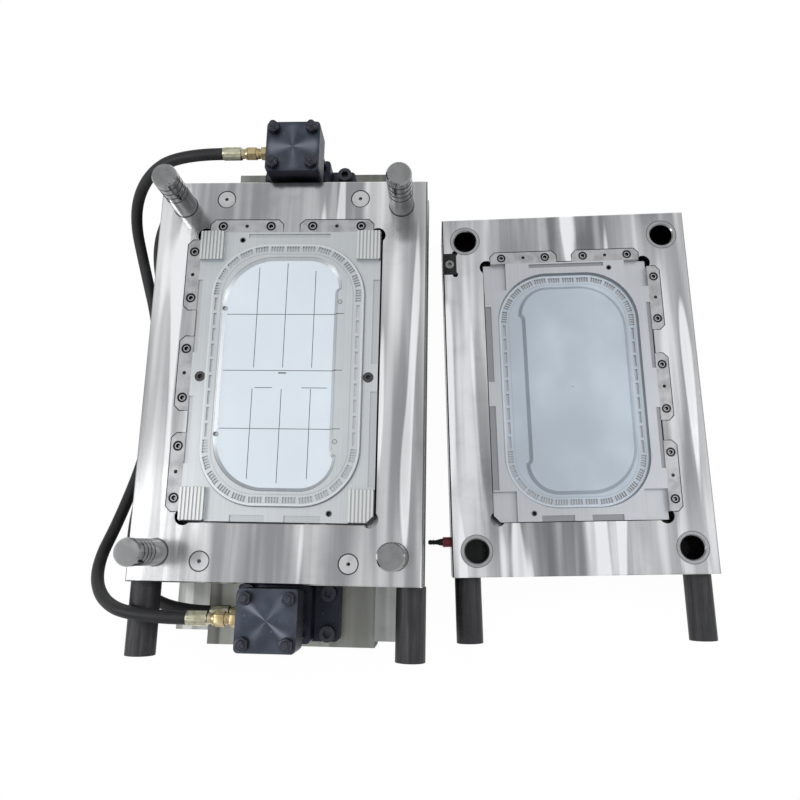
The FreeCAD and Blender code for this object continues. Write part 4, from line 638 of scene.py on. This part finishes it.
# Ground plates: the lighter tone is the colour of the painted highlight bands and glints, and the darker one is the
# steel between them. The radii given mark painted shade round pillars and pins and inside holes.
plate = ground_steel("plate_steel", tone(254, 254, 255), tone(150, 151, 153), 0.13,
                     shaded_gaps=[(*PILLAR, 0.0204), (*RETURN_PIN, 0.0150)], wedge_side=-1)
cavity_side_plate = ground_steel("cavity_plate_steel", tone(250, 251, 253), tone(122, 123, 126), 0.13, True,
                                 [(*PILLAR, 0.0270)], wedge_side=1)
fixed_under_plate = ground_steel("fixed_under_plate_steel", tone(190, 191, 190), tone(118, 119, 118), 0.36, True,
                                 holes=[(*PILLAR, 0.021)])
under_plate = ground_steel("under_plate_steel", tone(190, 191, 188), tone(118, 119, 118), 0.36)
ejector_steel = ground_steel("ejector_steel", tone(160, 161, 155), tone(100, 101, 96), 0.38)
core_steel = milled_steel("core_steel", tone(216, 220, 223), tone(216, 224, 231), PARTING + 0.0003, PARTING + 0.0015,
                          PARTING - 0.0005, shaded_steps=(PARTING + 0.0002, PARTING + 0.0052, PARTING - 0.0010),
                          outline=TRAY,
                          dots=[(-0.1015, 0.1035, "Y", 0.0029, 0.0037), (0.0865, 0.114, "Y", 0.0029, 0.0037),
                                (LIFT_HOLE[0], -LIFT_HOLE[1], "", 0.0032, 0.0048),
                                (-LIFT_HOLE[0], LIFT_HOLE[1], "", 0.0032, 0.0048)],
                          dim=0.90, lock=PARTING + LOCK_HEIGHT)
cavity_steel = milled_steel("cavity_steel", tone(206, 208, 213), tone(196, 206, 216), FIXED_FACE - 0.0090,
                            FIXED_FACE - 0.0030, FIXED_FACE - 0.0100, True, recess=FIXED_FACE - 0.0020,
                            outline=TRAY, dim=0.72,
                            dots=[(*LIFT_HOLE, "", 0.0032, 0.0048),
                                  (-LIFT_HOLE[0], -LIFT_HOLE[1], "", 0.0032, 0.0048)])
core_wedge_steel = wedge_block_steel("core_wedge_steel", -1, False)
cavity_wedge_steel = wedge_block_steel("cavity_wedge_steel", 1, True)
core_wedge_screw_steel = socket_screw_steel("core_wedge_screw_steel", -1, False)
cavity_wedge_screw_steel = socket_screw_steel("cavity_wedge_screw_steel", 1, True)
pillar_steel = turned_steel("pillar_steel", tone(148, 149, 149), 0.06, 0.012)
pin_steel = turned_steel("pin_steel", tone(206, 207, 208), 0.30, drilled=(*RETURN_PIN, 0.0021))
bush_steel = turned_steel("bush_steel", tone(172, 173, 175), 0.20, 0.010, FIXED_FACE - 0.0022)
cap_steel = dark_turned("cap_steel")
barrel_steel = turned_steel("barrel_steel", tone(64, 67, 77), 0.22)
leg_steel = black_steel("leg_steel", tone(82, 82, 84), tone(38, 38, 40))
lock_steel = black_steel("lock_steel", tone(60, 60, 62), tone(22, 22, 24))
screw_steel = plain_screw("screw_steel", tone(110, 110, 112), tone(48, 48, 52))
bright_screw = plain_screw("bright_screw", tone(176, 176, 174), tone(96, 96, 96))
bronze = plated("bush_bronze", tone(176, 144, 92), tone(128, 98, 58))
red_collar = Finish("red_collar", metallic=0.7, coat_weight=0.3)
red_cloud = red_collar.noise((0.004, 0.004, 0.004), detail=4)
red_collar.wear(red_collar.mix(red_cloud, tone(92, 22, 30), tone(142, 48, 54)), 0.30 + red_cloud * 0.15,
                red_collar.bump(red_cloud, 0.15, 0.0003))

FINISHES = {
    plate: ["core_plate"],
    cavity_side_plate: ["cavity_plate"],
    under_plate: ["moving_clamp_plate", "spacer_block_left", "spacer_block_right", "support_plate", "support_pillars",
                  "stop_discs"],
    fixed_under_plate: ["fixed_clamp_plate", "locating_ring"],
    ejector_steel: ["ejector_plate", "ejector_retainer_plate"],
    core_steel: ["core_insert"],
    cavity_steel: ["cavity_insert"],
    core_wedge_steel: ["core_wedge_blocks"],
    cavity_wedge_steel: ["cavity_wedge_blocks"],
    pillar_steel: ["guide_pillars", "top_piston_rod", "bottom_piston_rod", "ejector_guide_pins"],
    pin_steel: ["return_pins", "ejector_pins", "sprue_bush"],
    bush_steel: ["guide_bushes"],
    cap_steel: ["top_cylinder_cap", "bottom_cylinder_cap", "top_cylinder_head", "bottom_cylinder_head"],
    barrel_steel: ["top_cylinder_barrel", "bottom_cylinder_barrel", "top_cylinder_tie_rods",
                   "bottom_cylinder_tie_rods"],
    leg_steel: ["moving_legs", "fixed_legs"],
    lock_steel: ["side_lock"],
    bright_screw: ["side_lock_bolt"],
    dark_nut: ["rod_lock_nuts", "top_cylinder_flange_screws", "bottom_cylinder_flange_screws"],
    bronze: ["ejector_guide_bushes"],
    red_collar.material: ["nipple_collar"],
    core_wedge_screw_steel: ["core_wedge_screws"],
    cavity_wedge_screw_steel: ["cavity_wedge_screws"],
    screw_steel: ["core_insert_screws", "cavity_insert_screws",
                  "moving_clamp_screws", "fixed_clamp_screws", "ejector_plate_screws", "locating_ring_screws",
                  "moving_leg_screws", "fixed_leg_screws"],
}
for material, nodes in FINISHES.items():
    for node in nodes:
        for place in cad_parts[node].material_slots:
            place.material = material


# Floor and light

floor_shape = bmesh.new()
bmesh.ops.create_grid(floor_shape, x_segments=1, y_segments=1, size=12)
bmesh.ops.translate(floor_shape, verts=floor_shape.verts, vec=(0.25, 0, -0.0002))
floor_mesh = bpy.data.meshes.new("floor")
floor_shape.to_mesh(floor_mesh)
floor_shape.free()
floor = bpy.data.objects.new("floor", floor_mesh)
bpy.context.collection.objects.link(floor)
pale_floor = Finish("pale_floor", roughness=0.9, specular_ior_level=0.1)
floor_cloud = pale_floor.noise((1.1, 1.1, 1.1), detail=2)
floor_colour = pale_floor.mix(floor_cloud, tone(246, 246, 246), tone(250, 250, 250))
floor_mesh.materials.append(pale_floor.wear(floor_colour))
seen = pale_floor.sum("MAXIMUM", pale_floor.node("LightPath", output="Is Camera Ray"),
                      pale_floor.node("LightPath", output="Is Glossy Ray"))
white = pale_floor.node("Emission", inputs={"Color": (1, 1, 1, 1), "Strength": 1})
bare = Wire(pale_floor, pale_floor.shader.outputs[0])
surface = pale_floor.tree.nodes["Material Output"].inputs["Surface"]
pale_floor.feed(surface, pale_floor.node("MixShader", inputs={0: seen * 0.97, 1: bare, 2: white}))


LAMP_AIM = Vector((0.25, 0, 0.2))


def lamp(name, place, size, power, mirrored=True):
    light = bpy.data.lights.new(name, "AREA")
    light.shape = "RECTANGLE"
    light.size, light.size_y = size
    light.energy = power
    made = bpy.data.objects.new(name, light)
    made.location = place
    made.rotation_euler = (LAMP_AIM - Vector(place)).to_track_quat("-Z", "Y").to_euler()
    made.visible_glossy = mirrored
    bpy.context.collection.objects.link(made)


lamp("softbox_above", (0.2, 0.9, 2.6), (2.2, 0.8), 26, mirrored=False)
lamp("softbox_left", (-2.1, -0.3, 2.0), (0.7, 2.2), 22)
lamp("softbox_right", (2.7, 0.4, 2.0), (0.7, 2.0), 18)

world = bpy.data.worlds.new("studio")
bpy.context.scene.world = world
world.use_nodes = True
sky = world.node_tree
background = sky.nodes["Background"]
direction = sky.nodes.new("ShaderNodeTexCoord")
parts = sky.nodes.new("ShaderNodeSeparateXYZ")
fade = sky.nodes.new("ShaderNodeValToRGB")
sky.links.new(direction.outputs["Generated"], parts.inputs[0])
sky.links.new(parts.outputs["Z"], fade.inputs["Fac"])
sky.links.new(fade.outputs["Color"], background.inputs["Color"])
level, overhead = fade.color_ramp.elements
level.position, level.color = 0.0, (0.40, 0.41, 0.42, 1)
overhead.position, overhead.color = 0.75, (0.92, 0.93, 0.94, 1)
background.inputs["Strength"].default_value = 0.9

bpy.context.scene.view_settings.view_transform = "Standard"
